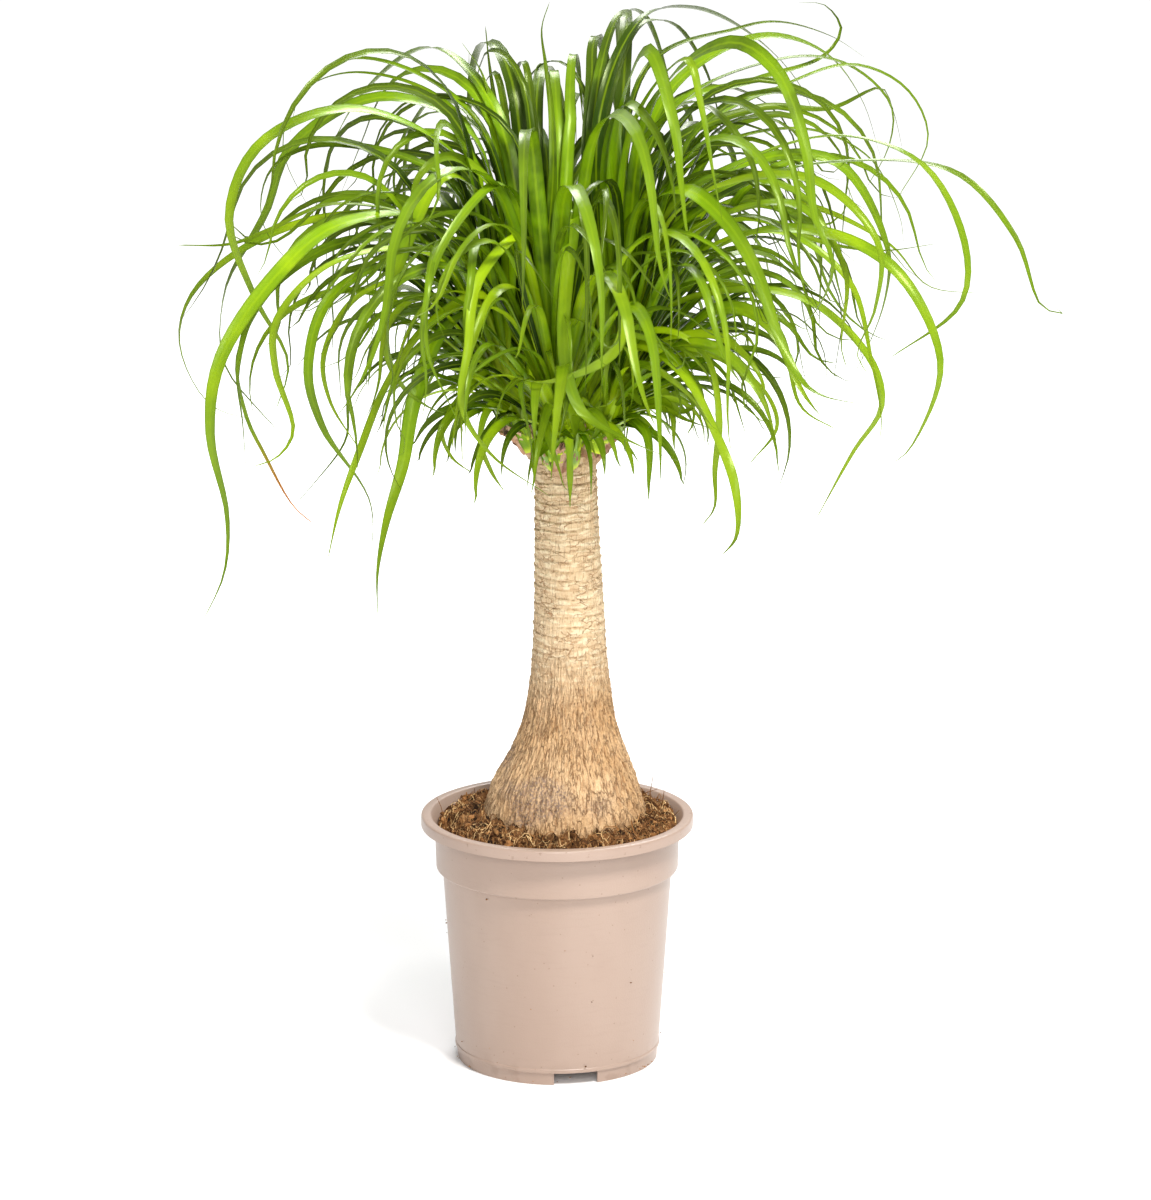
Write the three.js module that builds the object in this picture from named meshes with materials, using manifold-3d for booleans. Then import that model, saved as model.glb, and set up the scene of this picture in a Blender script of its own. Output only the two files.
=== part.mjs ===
// A ponytail palm in its plastic nursery pot.
// Millimetres, +Z up. The origin is the centre of the pot's underside, where the pot stands. The front is -Y.
import * as THREE from 'three';
import { mergeVertices } from 'three/addons/utils/BufferGeometryUtils.js';
import Module from 'manifold-3d';

const wasm = await Module();
wasm.setup();

// Driving dimensions of the pot
const POT_HEIGHT = 195;
const RIM_RADIUS = 105;
const RIM_DEPTH = 8.7;
const RIM_PLATE = 2;
const LIP_RADIUS = 97.3;
const COLLAR_RADIUS = 94.3;
const COLLAR_TAPER = 0.8;
const STEP_EDGE = 0.8;
const RIM_EDGE = 1.2;
const STEP_HEIGHT = 153;
const BODY_TOP_RADIUS = 88.5;
const BODY_FOOT_RADIUS = 79;
const FLOOR_UNDERSIDE = 9.5;
const FLOOR_TOP = 11.5;
const FOOT_RING_RADIUS = 77.5;
const FOOT_RING_WIDTH = 2.6;
const BEAD_RADIUS = 79.5;
const BEAD_HEIGHT = 3.2;
const WALL = 1.7;
const PAD_RADIUS = 25;
const POT_SIDES = 32;
const NOTCH_COUNT = 3;
const NOTCH_WIDTH = 34;
const NOTCH_BEARING = -79.1;
const DRAIN_HOLE_COUNT = 6;
const DRAIN_HOLE_RADIUS = 5;
const DRAIN_HOLE_CIRCLE = 52;

// Driving dimensions of the potting mix
const WALL_LEVEL = 187;
const MOUND_LEVEL = 195.5;
const MOUND_RADIUS = 66;
const SOIL_LUMP = 1.6;
const SOIL_SEED = 11;
const SOIL_TOP_RADII = [84, 74, 62, 48];
const CLEARANCE = 0.35;

// Driving dimensions of the trunk. The upper stem stands a little to the right of the pot's centre.
const TRUNK_AXIS_X = 6.5;
const TRUNK_SIDES = 18;
const STEM_FOOT = 286;
const STEM_TOP = 492;
const BARK_ROW = 13;
const BARK_SCAR = 0.7;
const BARK_SEED = 7;
const ROOT_COUNT = 6;
const ROOT_SIDES = 5;

// Height, radius and sideways place of the trunk's centre
const TRUNK_PROFILE = [
  [92, 10, 5], [98, 26, 5], [110, 44, 5], [128, 58, 5], [150, 65, 5], [175, 66.5, 5.4],
  [196, 63, 5.4], [220.5, 55.8, 6], [230, 51.6, 7.2], [240, 46.9, 8], [249, 42.6, 8.6], [259, 38.8, 8.9],
  [268, 35.8, 9.3], [278, 33.6, 9.6], [286, 32.4, 9.7], [306, 29.8, 9.8], [326, 28.1, 9.5],
  [364, 26.4, 9.2], [402, 25, 8], [440, 23.9, 7.1], [469, 23.3, 6.6], [492, 22.6, 6.5],
];

// Radius and depth of the hollow in the cut top
const CUT_TOP = [[16, 3], [8, 6]];
const CUT_TOP_DEPTH = 7;

// Reach from the trunk's foot, height and radius of a stout root, and the length of its tip
const ROOT_ROUTE = [[26, 128, 9], [52, 112, 6.5], [64, 84, 4.5], [66, 52, 2.6]];
const ROOT_TIP = 3;

// Leafy heads round the cut top: name, distance of the foot from the trunk's axis, and its height.
// Each head keeps to its own fifth of the circle.
const HEADS = [
  ['head_front', 26, 493],
  ['head_right', 27, 499],
  ['head_back_right', 25.5, 503],
  ['head_back_left', 25.5, 505],
  ['head_left', 30, 503],
];
const FIRST_BEARING = -99;
const SECTOR = 360 / HEADS.length;
const HEAD_LEAN = 26;
const STUB_SIDES = 8;
const CORE_SIDES = 10;

// Distance along the head's axis from its foot, and radius, of the woody stub and of the leek-like core
const STUB_PROFILE = [[-26, 10.6], [-6, 13.5], [0, 13.2]];
const CORE_PROFILE = [[CLEARANCE, 12.4], [7, 14.6], [20, 15.2], [40, 11.5], [62, 6], [80, 2.5]];

// Driving dimensions of the leaf blades
const TRACED_SEGMENTS = 8;
const KEEL_DEPTH = 1.7;
const SECTOR_MARGIN = 0.6;
const FACING_ROLL = 38;
const LEAVES_PER_HEAD = 29;
const ROOT_OFFSET = 5;
const CREST_LOWEST = 512;
const CREST_HIGHEST = 820;

// Leaves drawn by rule. A head's lowest leaf has rank 0 and its highest rank 1. What grows with the rank is
// given as the lowest leaf's and the gain, a jitter is the whole width of a draw, and angles are in degrees.
const FEWEST_RULED = 10;
const RULED_SPREAD = 43;
const GOLDEN_TURN = 0.618034;
const LEAF_SEED = 20;
const LINE_STEPS = 18;
const ROOT_REACH = { lowest: 5, gain: 38 };
const RISE_ANGLE = { lowest: 30, gain: 46, power: 0.7, jitter: 8, atRoot: 4, atBend: -8 };
const RISE_LENGTH = { least: 18, lowest: 15, gain: 175, jitter: 40 };
const BEND_RADIUS = { lowest: 22, gain: 30, jitter: 36 };
const HANG_ANGLE = { least: -62, jitter: -46 };
const LOWEST_TIP = { least: 475, jitter: 95 };
const HANG_LENGTH = { fewest: 8, least: 20, jitter: 110 };
const TIP_FLICK = { most: 95, power: 2 };
const RULED_WIDTH = { least: 8, jitter: 7 };
const SWEEP_JITTER = 64;
const ROLL_JITTER = 50;

// Shares of the bend at which a ruled leaf has a ring of corners
const BEND_STATIONS = [0.05, 0.35, 0.62, 0.92];

// Edges shorter than this are closed up in every finished solid
const SHORTEST_EDGE = 0.002;

// The front view that the traced leaves were read from: its eye stands this far in front of the origin
const EYE = new THREE.Vector3(14.15, -4074, 1383.6);

// Leaves traced from the front view: bearing round the trunk in degrees (0 is right, 90 back, 180 left),
// greatest width, then points from the first bend to the tip, each as sideways place and height in that view
const TRACED_SIDE_LEAVES = [
  [208, 14, [-60, 690], [-150, 743], [-222, 716], [-246, 662], [-228, 600], [-203, 548], [-214, 509]],
  [186, 9, [-80, 645], [-165, 671], [-218, 650], [-245, 640], [-286, 639]],
  [164, 9, [-90, 655], [-165, 662], [-230, 640], [-276, 600], [-285, 562], [-262, 516], [-211, 502]],
  [157, 13, [-60, 720], [-130, 752], [-200, 712], [-218, 665], [-250, 605], [-252, 550], [-222, 508],
    [-197, 482]],
  [213, 15, [-90, 655], [-165, 655], [-215, 612], [-255, 550], [-263, 495], [-251, 430], [-254, 385],
    [-272, 345]],
  [206, 10, [-90, 635], [-165, 640], [-225, 595], [-241, 545], [-238, 500], [-236, 462]],
  [194, 9, [-100, 640], [-185, 632], [-240, 560], [-236, 510], [-222, 478], [-200, 437], [-183, 422]],
  [216, 12, [-90, 630], [-170, 625], [-212, 580], [-213, 545], [-200, 495], [-212, 476], [-232, 468]],
  [172, 7, [-70, 680], [-170, 716], [-213, 698], [-222, 660], [-200, 625], [-188, 620]],
  [151, 6, [-60, 735], [-150, 781], [-195, 748], [-205, 712], [-180, 655]],
  [146, 5, [-70, 735], [-145, 770], [-190, 755], [-200, 722]],
  [134, 13, [-45, 740], [-90, 789], [-140, 760], [-168, 715], [-172, 695], [-188, 650]],
  [221, 12, [-40, 670], [-80, 707], [-104, 690], [-110, 650], [-112, 620]],
  [219, 14, [-45, 660], [-83, 693], [-113, 640], [-130, 570], [-120, 535], [-92, 512], [-72, 509]],
  [222, 12, [-52, 600], [-100, 575], [-130, 530], [-150, 480], [-165, 438], [-175, 395]],
  [217, 14, [-56, 590], [-85, 575], [-108, 520], [-117, 470], [-130, 425], [-137, 385], [-137, 348]],
  [198, 10, [-110, 625], [-170, 600], [-188, 545], [-178, 500], [-142, 440], [-143, 384]],
  [210, 9, [-90, 612], [-150, 600], [-176, 555], [-172, 520], [-150, 482]],
  [182, 6, [-90, 600], [-145, 575], [-158, 520], [-160, 490], [-185, 455], [-200, 438]],
  [216, 7, [-45, 545], [-80, 515], [-87, 495], [-80, 476], [-64, 463]],
  [208, 9, [-36, 525], [-52, 513], [-58, 490], [-50, 465], [-40, 449]],
  [196, 7, [-38, 516], [-46, 505], [-50, 492]],
  [125, 11, [-33, 700], [-46, 770], [-58, 750], [-57, 725]],
  [108, 10, [-16, 710], [-24, 778], [-33, 762], [-36, 735]],
  [132, 8, [-35, 680], [-47, 740], [-56, 770], [-71, 793]],
  [120, 8, [-30, 660], [-43, 730], [-50, 775], [-53, 805]],
  [58, 10, [32, 735], [60, 808], [100, 819], [150, 795], [182, 760], [200, 720]],
  [35, 9, [75, 735], [150, 765], [200, 783], [212, 802], [200, 820], [180, 822]],
  [45, 6, [65, 770], [135, 803], [165, 808], [205, 797], [230, 781]],
  [32, 11, [80, 750], [150, 797], [200, 785], [228, 750], [243, 705]],
  [24, 9, [80, 735], [165, 780], [215, 777], [250, 745], [249, 715], [232, 682]],
  [12, 10, [75, 705], [150, 743], [205, 743], [243, 758], [252, 740], [259, 712]],
  [18, 8, [80, 705], [175, 763], [222, 776], [262, 757], [278, 720], [255, 673]],
  [-24, 13, [80, 660], [150, 708], [215, 723], [275, 700], [307, 640], [305, 595], [250, 551]],
  [-18, 12, [75, 635], [150, 690], [220, 704], [300, 694], [345, 645], [366, 592], [382, 587], [374, 593]],
  [26, 6, [100, 700], [180, 728], [235, 705], [258, 660], [261, 640]],
  [-12, 8, [75, 625], [140, 660], [205, 640], [245, 635], [285, 640]],
  [5, 7, [90, 640], [170, 672], [250, 640], [280, 608], [320, 602]],
  [-32, 13, [75, 600], [150, 650], [215, 645], [260, 615], [290, 550], [275, 495], [258, 473], [240, 474]],
  [-44, 14, [70, 745], [130, 793], [165, 770], [186, 715], [194, 660], [208, 625], [195, 588], [170, 568]],
  [-56, 11, [55, 725], [98, 780], [108, 745], [118, 690], [125, 655]],
  [-60, 15, [46, 735], [68, 787], [88, 730], [94, 680], [100, 640], [112, 620]],
  [-61, 14, [38, 715], [52, 747], [74, 725], [86, 690], [90, 655]],
  [-38, 12, [60, 710], [110, 745], [145, 705], [152, 660], [148, 635]],
  [-47, 14, [55, 655], [95, 682], [125, 660], [150, 620], [168, 568], [190, 530], [225, 518], [245, 517]],
  [-52, 15, [50, 562], [75, 560], [100, 535], [118, 500], [135, 455], [137, 415], [125, 398]],
  [-48, 11, [55, 566], [90, 572], [115, 550], [123, 505], [120, 465], [120, 437], [110, 422]],
  [-27, 9, [80, 600], [140, 610], [170, 570], [185, 515], [212, 497]],
  [-15, 12, [70, 582], [130, 605], [190, 597], [238, 550], [246, 515], [225, 480], [196, 425]],
  [-30, 11, [90, 640], [180, 670], [217, 620], [215, 560], [220, 543]],
  [-36, 11, [90, 665], [190, 690], [242, 640], [240, 590], [227, 555], [237, 538]],
  [-5, 10, [100, 680], [205, 705], [248, 640], [248, 600], [230, 550], [212, 522]],
  [-20, 9, [90, 620], [165, 650], [220, 612], [238, 550], [246, 505], [245, 488]],
  [-40, 9, [60, 556], [120, 570], [150, 545], [157, 525], [146, 513], [138, 517]],
  [-10, 9, [60, 544], [120, 554], [155, 530], [167, 500], [146, 470]],
  [-42, 8, [48, 508], [75, 515], [100, 504], [114, 499]],
  [-55, 7, [46, 502], [62, 507], [76, 495]],
];

// Leaves traced from the front view that come towards it or lean away: bearing, width, then points as
// sideways place and height in that view, and depth behind the trunk's axis
const TRACED_DEEP_LEAVES = [
  [-90, 16, [6, 610, -40], [12, 668, -78], [8, 618, -118], [5, 570, -136], [9, 535, -144], [20, 510, -150],
    [50, 491, -166], [106, 467, -205]],
  [-95, 9, [4, 509, -42], [9, 490, -50], [10, 462, -52], [10, 436, -48]],
  [-80, 8, [12, 508, -40], [22, 493, -46], [30, 476, -48]],
  [-112, 10, [-9, 625, -54], [-27, 647, -90], [-60, 610, -140], [-67, 560, -165], [-72, 515, -170],
    [-50, 478, -165], [-5, 445, -150]],
  [-75, 13, [24, 585, -55], [42, 612, -98], [51, 585, -122], [44, 558, -137], [20, 542, -144],
    [-15, 534, -142], [-60, 550, -134]],
  [-78, 11, [22, 570, -50], [32, 609, -76], [36, 590, -96], [38, 550, -104], [36, 520, -100]],
  [-70, 7, [16, 522, -42], [26, 515, -56], [38, 517, -74], [45, 523, -88]],
  [-100, 9, [8, 526, -42], [-3, 519, -48], [-16, 508, -52]],
  [-120, 10, [-22, 600, -64], [-45, 604, -110], [-62, 570, -140], [-74, 522, -152], [-80, 480, -156]],
  [-125, 10, [-20, 655, -55], [-45, 686, -105], [-85, 640, -150], [-98, 600, -165], [-97, 555, -172],
    [-84, 523, -174], [-74, 502, -172]],
  [112, 8, [-3, 690, 28], [-4, 740, 38], [-8, 775, 44], [-11, 803, 48], [-5, 823, 52]],
  [79, 12, [24, 690, 40], [26, 765, 75], [27, 797, 110], [34, 790, 145], [44, 745, 175], [52, 690, 190]],
  [74, 11, [26, 700, 40], [34, 780, 80], [48, 815, 125], [66, 812, 165], [82, 770, 195], [92, 715, 205]],
  [70, 12, [28, 680, 38], [42, 765, 70], [62, 806, 105], [88, 806, 135], [112, 770, 155], [126, 715, 165]],
  [88, 11, [12, 690, 40], [10, 752, 70], [12, 783, 105], [16, 775, 140], [20, 730, 165]],
  [95, 12, [3, 680, 40], [0, 748, 75], [-2, 772, 110], [-4, 755, 145], [-6, 705, 165]],
];

const toRadians = THREE.MathUtils.degToRad;

function finish(name, colour, roughness) {
  return new THREE.MeshStandardMaterial({ name, color: colour, roughness, metalness: 0 });
}

const FINISHES = {
  plastic: finish('pot_plastic', 0xd9bfae, 0.45),
  mix: finish('potting_mix', 0x5a3b22, 1),
  bark: finish('bark', 0xdcb184, 0.85),
  leaf: finish('leaf', 0x6fa012, 0.4),
};

// Seeded draws between 0 and 1, the same on every run
function seededDraws(seed) {
  let state = seed;
  return () => {
    state = (state + 0x6d2b79f5) | 0;
    let mixed = Math.imul(state ^ (state >>> 15), 1 | state);
    mixed = (mixed + Math.imul(mixed ^ (mixed >>> 7), 61 | mixed)) ^ mixed;
    return ((mixed ^ (mixed >>> 14)) >>> 0) / 4294967296;
  };
}

// Closed solid from a geometry: shared corners merged, collapsed triangles dropped, faces pointing out
function solidOf(geometry) {
  const bare = geometry.clone();
  bare.deleteAttribute('normal');
  bare.deleteAttribute('uv');
  const merged = mergeVertices(bare, 1e-4);
  const places = merged.getAttribute('position').array;
  const index = merged.getIndex().array;
  const corners = [];
  let volume = 0;
  for (let k = 0; k < index.length; k += 3) {
    const [a, b, c] = [index[k], index[k + 1], index[k + 2]];
    if (a === b || b === c || c === a) continue;
    corners.push(a, b, c);
    const [p, q, r] = [a, b, c].map((corner) => new THREE.Vector3().fromArray(places, corner * 3));
    volume += p.dot(q.cross(r));
  }
  if (volume < 0) corners.reverse();
  const mesh = new wasm.Mesh({
    numProp: 3,
    vertProperties: Float32Array.from(places),
    triVerts: Uint32Array.from(corners),
  });
  return new wasm.Manifold(mesh);
}

// Geometry of a solid's largest connected body, without its shortest edges
function geometryOf(solid) {
  const bodies = solid.decompose();
  const largest = bodies.reduce((best, body) => (body.volume() > best.volume() ? body : best));
  const mesh = largest.simplify(SHORTEST_EDGE).getMesh();
  const geometry = new THREE.BufferGeometry();
  geometry.setAttribute('position', new THREE.BufferAttribute(mesh.vertProperties, mesh.numProp));
  geometry.setIndex(new THREE.BufferAttribute(mesh.triVerts, 1));
  geometry.computeVertexNormals();
  return geometry;
}

// Closed skin through rings of points. A ring of one point is a pole.
function loft(rings) {
  const places = [];
  const starts = [];
  const corners = [];
  for (const ring of rings) {
    starts.push(places.length / 3);
    for (const point of ring) places.push(point.x, point.y, point.z);
  }
  const corner = (row, k) => starts[row] + (k % rings[row].length);
  for (let row = 1; row < rings.length; row += 1) {
    const around = Math.max(rings[row - 1].length, rings[row].length);
    for (let k = 0; k < around; k += 1) {
      const [low, lowNext] = [corner(row - 1, k), corner(row - 1, k + 1)];
      const [high, highNext] = [corner(row, k), corner(row, k + 1)];
      if (low !== lowNext) corners.push(low, lowNext, highNext);
      if (high !== highNext) corners.push(low, highNext, high);
    }
  }
  const top = rings.length - 1;
  for (let k = 1; k + 1 < rings[0].length; k += 1) {
    corners.push(corner(0, 0), corner(0, k + 1), corner(0, k));
  }
  for (let k = 1; k + 1 < rings[top].length; k += 1) {
    corners.push(corner(top, 0), corner(top, k), corner(top, k + 1));
  }
  const geometry = new THREE.BufferGeometry();
  geometry.setAttribute('position', new THREE.Float32BufferAttribute(places, 3));
  geometry.setIndex(corners);
  return solidOf(geometry);
}

// Solid turned about the upright axis from a profile of [radius, height]
function turned(profile, sides) {
  const points = profile.map(([radius, height]) => new THREE.Vector2(radius, height));
  const geometry = new THREE.LatheGeometry(points, sides);
  geometry.rotateX(Math.PI / 2);
  return solidOf(geometry);
}

// Value read from rows of numbers by the first of them
function readTable(rows, at, column) {
  const next = rows.findIndex((row) => row[0] >= at);
  if (next < 0) return rows[rows.length - 1][column];
  if (next === 0) return rows[0][column];
  const [low, high] = [rows[next - 1], rows[next]];
  return THREE.MathUtils.mapLinear(at, low[0], high[0], low[column], high[column]);
}

// Pot
const COLLAR_FOOT_RADIUS = COLLAR_RADIUS - COLLAR_TAPER;
const RIM_UNDERSIDE = POT_HEIGHT - RIM_PLATE;
const SKIRT_FOOT = POT_HEIGHT - RIM_DEPTH;

// Inside of the pot from the floor up to the lip, as [height, radius]
const POT_INSIDE = [
  [FLOOR_TOP, BODY_FOOT_RADIUS - WALL - 0.6],
  [FLOOR_TOP + 2, BODY_FOOT_RADIUS - WALL],
  [STEP_HEIGHT - 0.4, BODY_TOP_RADIUS - WALL],
  [STEP_HEIGHT + WALL, BODY_TOP_RADIUS - WALL + 0.4],
  [STEP_HEIGHT + WALL + STEP_EDGE, COLLAR_FOOT_RADIUS - WALL],
  [SKIRT_FOOT - 0.3, COLLAR_RADIUS - WALL],
  [POT_HEIGHT - 0.4, LIP_RADIUS],
];

function makePot() {
  const beadFoot = FLOOR_UNDERSIDE + 0.3;
  const beadTop = beadFoot + BEAD_HEIGHT;
  const ringInside = FOOT_RING_RADIUS - FOOT_RING_WIDTH;
  const skirtInside = RIM_RADIUS - WALL;
  const outside = [
    [0, 0], [PAD_RADIUS, 0], [PAD_RADIUS, FLOOR_UNDERSIDE], [ringInside, FLOOR_UNDERSIDE], [ringInside, 0],
    [FOOT_RING_RADIUS, 0], [FOOT_RING_RADIUS + 0.5, FLOOR_UNDERSIDE],
    [BEAD_RADIUS, beadFoot], [BEAD_RADIUS, beadTop - 0.5], [BODY_FOOT_RADIUS, beadTop],
    [BODY_TOP_RADIUS, STEP_HEIGHT - 0.5], [COLLAR_FOOT_RADIUS - 0.5, STEP_HEIGHT],
    [COLLAR_FOOT_RADIUS, STEP_HEIGHT + STEP_EDGE], [COLLAR_RADIUS, SKIRT_FOOT],
    [LIP_RADIUS + 1, RIM_UNDERSIDE], [skirtInside, RIM_UNDERSIDE], [skirtInside, SKIRT_FOOT],
    [RIM_RADIUS, SKIRT_FOOT], [RIM_RADIUS, POT_HEIGHT - RIM_EDGE],
    [RIM_RADIUS - RIM_EDGE, POT_HEIGHT], [LIP_RADIUS + STEP_EDGE, POT_HEIGHT],
  ];
  const inside = POT_INSIDE.map(([height, radius]) => [radius, height]).reverse();
  const shell = turned([...outside, ...inside, [0, FLOOR_TOP]], POT_SIDES);
  const cuts = [];
  for (let k = 0; k < NOTCH_COUNT; k += 1) {
    const notch = new THREE.BoxGeometry(5 * FOOT_RING_WIDTH, NOTCH_WIDTH, 2 * FLOOR_UNDERSIDE);
    notch.translate(FOOT_RING_RADIUS - FOOT_RING_WIDTH, 0, 0);
    notch.rotateZ(toRadians(NOTCH_BEARING + (k * 360) / NOTCH_COUNT));
    cuts.push(solidOf(notch));
  }
  for (let k = 0; k < DRAIN_HOLE_COUNT; k += 1) {
    const hole = new THREE.CylinderGeometry(DRAIN_HOLE_RADIUS, DRAIN_HOLE_RADIUS, 10, 8);
    hole.rotateX(Math.PI / 2);
    hole.translate(DRAIN_HOLE_CIRCLE, 0, FLOOR_UNDERSIDE);
    hole.rotateZ(toRadians(NOTCH_BEARING + (k * 360) / DRAIN_HOLE_COUNT));
    cuts.push(solidOf(hole));
  }
  return shell.subtract(wasm.Manifold.union(cuts));
}

// Foot, leaning axis and sideways direction of a head
function headFrame(number) {
  const [, circle, level] = HEADS[number];
  const bearing = toRadians(FIRST_BEARING + number * SECTOR);
  const outward = new THREE.Vector3(Math.cos(bearing), Math.sin(bearing), 0);
  const foot = outward.clone().multiplyScalar(circle).add(new THREE.Vector3(TRUNK_AXIS_X, 0, level));
  const up = outward.clone().multiplyScalar(Math.sin(toRadians(HEAD_LEAN)));
  up.z = Math.cos(toRadians(HEAD_LEAN));
  return { bearing, foot, up, side: new THREE.Vector3(-outward.y, outward.x, 0) };
}

// Ring of points round a centre, square to an axis
function ringAbout(centre, axis, across, radius, sides) {
  const other = new THREE.Vector3().crossVectors(axis, across);
  return Array.from({ length: sides }, (_, k) => {
    const turn = (2 * Math.PI * k) / sides;
    return centre.clone()
      .addScaledVector(across, radius * Math.cos(turn))
      .addScaledVector(other, radius * Math.sin(turn));
  });
}

// Trunk with its roots and stubs, grown by a clearance where it makes its own hole in the mix
function makeTrunk(grown) {
  const draw = seededDraws(BARK_SEED);
  const rings = [[new THREE.Vector3(TRUNK_PROFILE[0][2], 0, TRUNK_PROFILE[0][0] - 2 - grown)]];
  const addRing = (height, radius, centre, wave) => {
    const phase = draw() * 2 * Math.PI;
    const ring = [];
    for (let k = 0; k < TRUNK_SIDES; k += 1) {
      const turn = (2 * Math.PI * k) / TRUNK_SIDES;
      const lobe = wave * (Math.sin(3 * turn + 1) + 0.5 * Math.sin(5 * turn + phase));
      const reach = radius + lobe + grown;
      const drop = height < TRUNK_PROFILE[4][0] ? grown : 0;
      ring.push(new THREE.Vector3(centre + reach * Math.cos(turn), reach * Math.sin(turn), height - drop));
    }
    rings.push(ring);
  };
  for (const [height, radius, centre] of TRUNK_PROFILE) {
    if (height < STEM_FOOT) addRing(height, radius, centre, radius * 0.009);
  }
  const rows = Math.round((STEM_TOP - STEM_FOOT) / BARK_ROW);
  for (let row = 0; row <= rows; row += 1) {
    const height = STEM_FOOT + ((STEM_TOP - STEM_FOOT) * row) / rows;
    const scar = (row % 2 ? 1 : -1) * BARK_SCAR * (0.5 + draw());
    addRing(height, readTable(TRUNK_PROFILE, height, 1) + scar, readTable(TRUNK_PROFILE, height, 2), 0.35);
  }
  for (const [radius, depth] of CUT_TOP) addRing(STEM_TOP - depth, radius, TRUNK_AXIS_X, 0.4);
  rings.push([new THREE.Vector3(TRUNK_AXIS_X, 0, STEM_TOP - CUT_TOP_DEPTH)]);
  const pieces = [loft(rings)];
  for (let k = 0; k < ROOT_COUNT; k += 1) {
    const bearing = (2 * Math.PI * (k + 0.3 * draw())) / ROOT_COUNT;
    const outward = new THREE.Vector3(Math.cos(bearing), Math.sin(bearing), 0);
    const route = ROOT_ROUTE.map(([reach, height, radius]) => ({
      centre: outward.clone().multiplyScalar(reach).add(new THREE.Vector3(TRUNK_PROFILE[0][2], 0, height)),
      radius,
    }));
    const end = route[route.length - 1].centre;
    const axis = new THREE.Vector3().subVectors(end, route[0].centre).normalize();
    const across = new THREE.Vector3(-outward.y, outward.x, 0);
    const sleeve = route.map(({ centre, radius }) => (
      ringAbout(centre, axis, across, radius + grown, ROOT_SIDES)));
    const tip = end.clone().addScaledVector(axis, ROOT_TIP + 2 * grown);
    pieces.push(loft([...sleeve, [tip]]));
  }
  for (let k = 0; k < HEADS.length; k += 1) {
    const { foot, up, side } = headFrame(k);
    const stub = STUB_PROFILE.map(([reach, radius]) => (
      ringAbout(foot.clone().addScaledVector(up, reach), up, side, radius, STUB_SIDES)));
    pieces.push(loft(stub));
  }
  return wasm.Manifold.union(pieces);
}

// Potting mix, heaped up to the trunk and lower at the wall, with lumps on top
function mixLevel(radius, turn) {
  const heap = THREE.MathUtils.smoothstep(LIP_RADIUS - radius, 2, LIP_RADIUS - MOUND_RADIUS);
  const high = MOUND_LEVEL + 3 * Math.max(0, -Math.cos(turn));
  const low = WALL_LEVEL + 4 * Math.max(0, Math.cos(turn - 0.7)) ** 2;
  return low + (high - low) * heap;
}

function makeMix() {
  const draw = seededDraws(SOIL_SEED);
  const turns = Array.from({ length: POT_SIDES }, (_, k) => (2 * Math.PI * k) / POT_SIDES);
  const rings = [[new THREE.Vector3(0, 0, FLOOR_TOP + CLEARANCE)]];
  const ring = (radiusAt, heightAt) => rings.push(turns.map((turn) => (
    new THREE.Vector3(radiusAt(turn) * Math.cos(turn), radiusAt(turn) * Math.sin(turn), heightAt(turn)))));
  for (const [height, radius] of POT_INSIDE.slice(0, -1)) {
    const lift = height < FLOOR_TOP + 1 || Math.abs(height - STEP_HEIGHT) < 4 ? CLEARANCE : 0;
    ring(() => radius - CLEARANCE, () => height + lift);
  }
  const edge = turns.map((turn) => mixLevel(COLLAR_RADIUS, turn) + SOIL_LUMP * (draw() - 0.5));
  const byTurn = (turn) => edge[Math.round((turn * POT_SIDES) / (2 * Math.PI))];
  ring((turn) => readTable(POT_INSIDE, byTurn(turn), 1) - CLEARANCE, byTurn);
  for (const radius of SOIL_TOP_RADII) {
    const lumpy = (turn) => mixLevel(radius, turn) + 2 * SOIL_LUMP * (draw() - 0.5);
    ring(() => radius + 2 * SOIL_LUMP * (draw() - 0.5), lumpy);
  }
  rings.push([new THREE.Vector3(0, 0, MOUND_LEVEL)]);
  return loft(rings).subtract(makeTrunk(CLEARANCE));
}

// Centre line of a leaf, kept inside its head's sector with room for the blade on both sides
function insideSector(point, room, bearing) {
  const half = toRadians(SECTOR / 2);
  const axis = new THREE.Vector3(TRUNK_AXIS_X, 0, 0);
  const walls = [bearing + half - Math.PI / 2, bearing - half + Math.PI / 2];
  for (const wall of walls) {
    const inward = new THREE.Vector3(Math.cos(wall), Math.sin(wall), 0);
    const short = room - point.clone().sub(axis).dot(inward);
    if (short > 0) point.addScaledVector(inward, short);
  }
  return point;
}

// Width of a blade along its length: it swells a little from the root, then tapers to a thread
function bladeShare(along) {
  const swell = 0.5 + 0.5 * Math.sin(Math.min(along / 0.3, 1) * Math.PI * 0.5);
  return swell * (1 - along ** 2.8) ** 1.1;
}

// Blade with a flat upper face and a keel below, along a centre line, ending in a point. It has a ring of
// corners at each station, given as a share of its length, and rolls about its centre line from the root on.
function makeBlade(head, line, leaf) {
  const across = new THREE.Vector3(-Math.sin(leaf.bearing), Math.cos(leaf.bearing), 0);
  const curve = new THREE.CatmullRomCurve3(line, false, 'centripetal');
  const rings = leaf.stations.map((along) => {
    const share = bladeShare(along);
    const half = (leaf.width * share) / 2;
    const keel = KEEL_DEPTH * (0.45 + 0.55 * share);
    const room = Math.max(half, keel) + SECTOR_MARGIN;
    const centre = insideSector(curve.getPointAt(along), room, head.bearing);
    if (along === 1) return [centre];
    const tangent = curve.getTangentAt(along);
    const side = across.clone().addScaledVector(tangent, -across.dot(tangent)).normalize();
    side.applyAxisAngle(tangent, leaf.roll * THREE.MathUtils.smoothstep(along, 0, 0.7));
    const under = new THREE.Vector3().crossVectors(side, tangent).normalize();
    return [
      centre.clone().addScaledVector(side, half),
      centre.clone().addScaledVector(side, -half),
      centre.clone().addScaledVector(under, keel),
    ];
  });
  return loft(rings);
}

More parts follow.
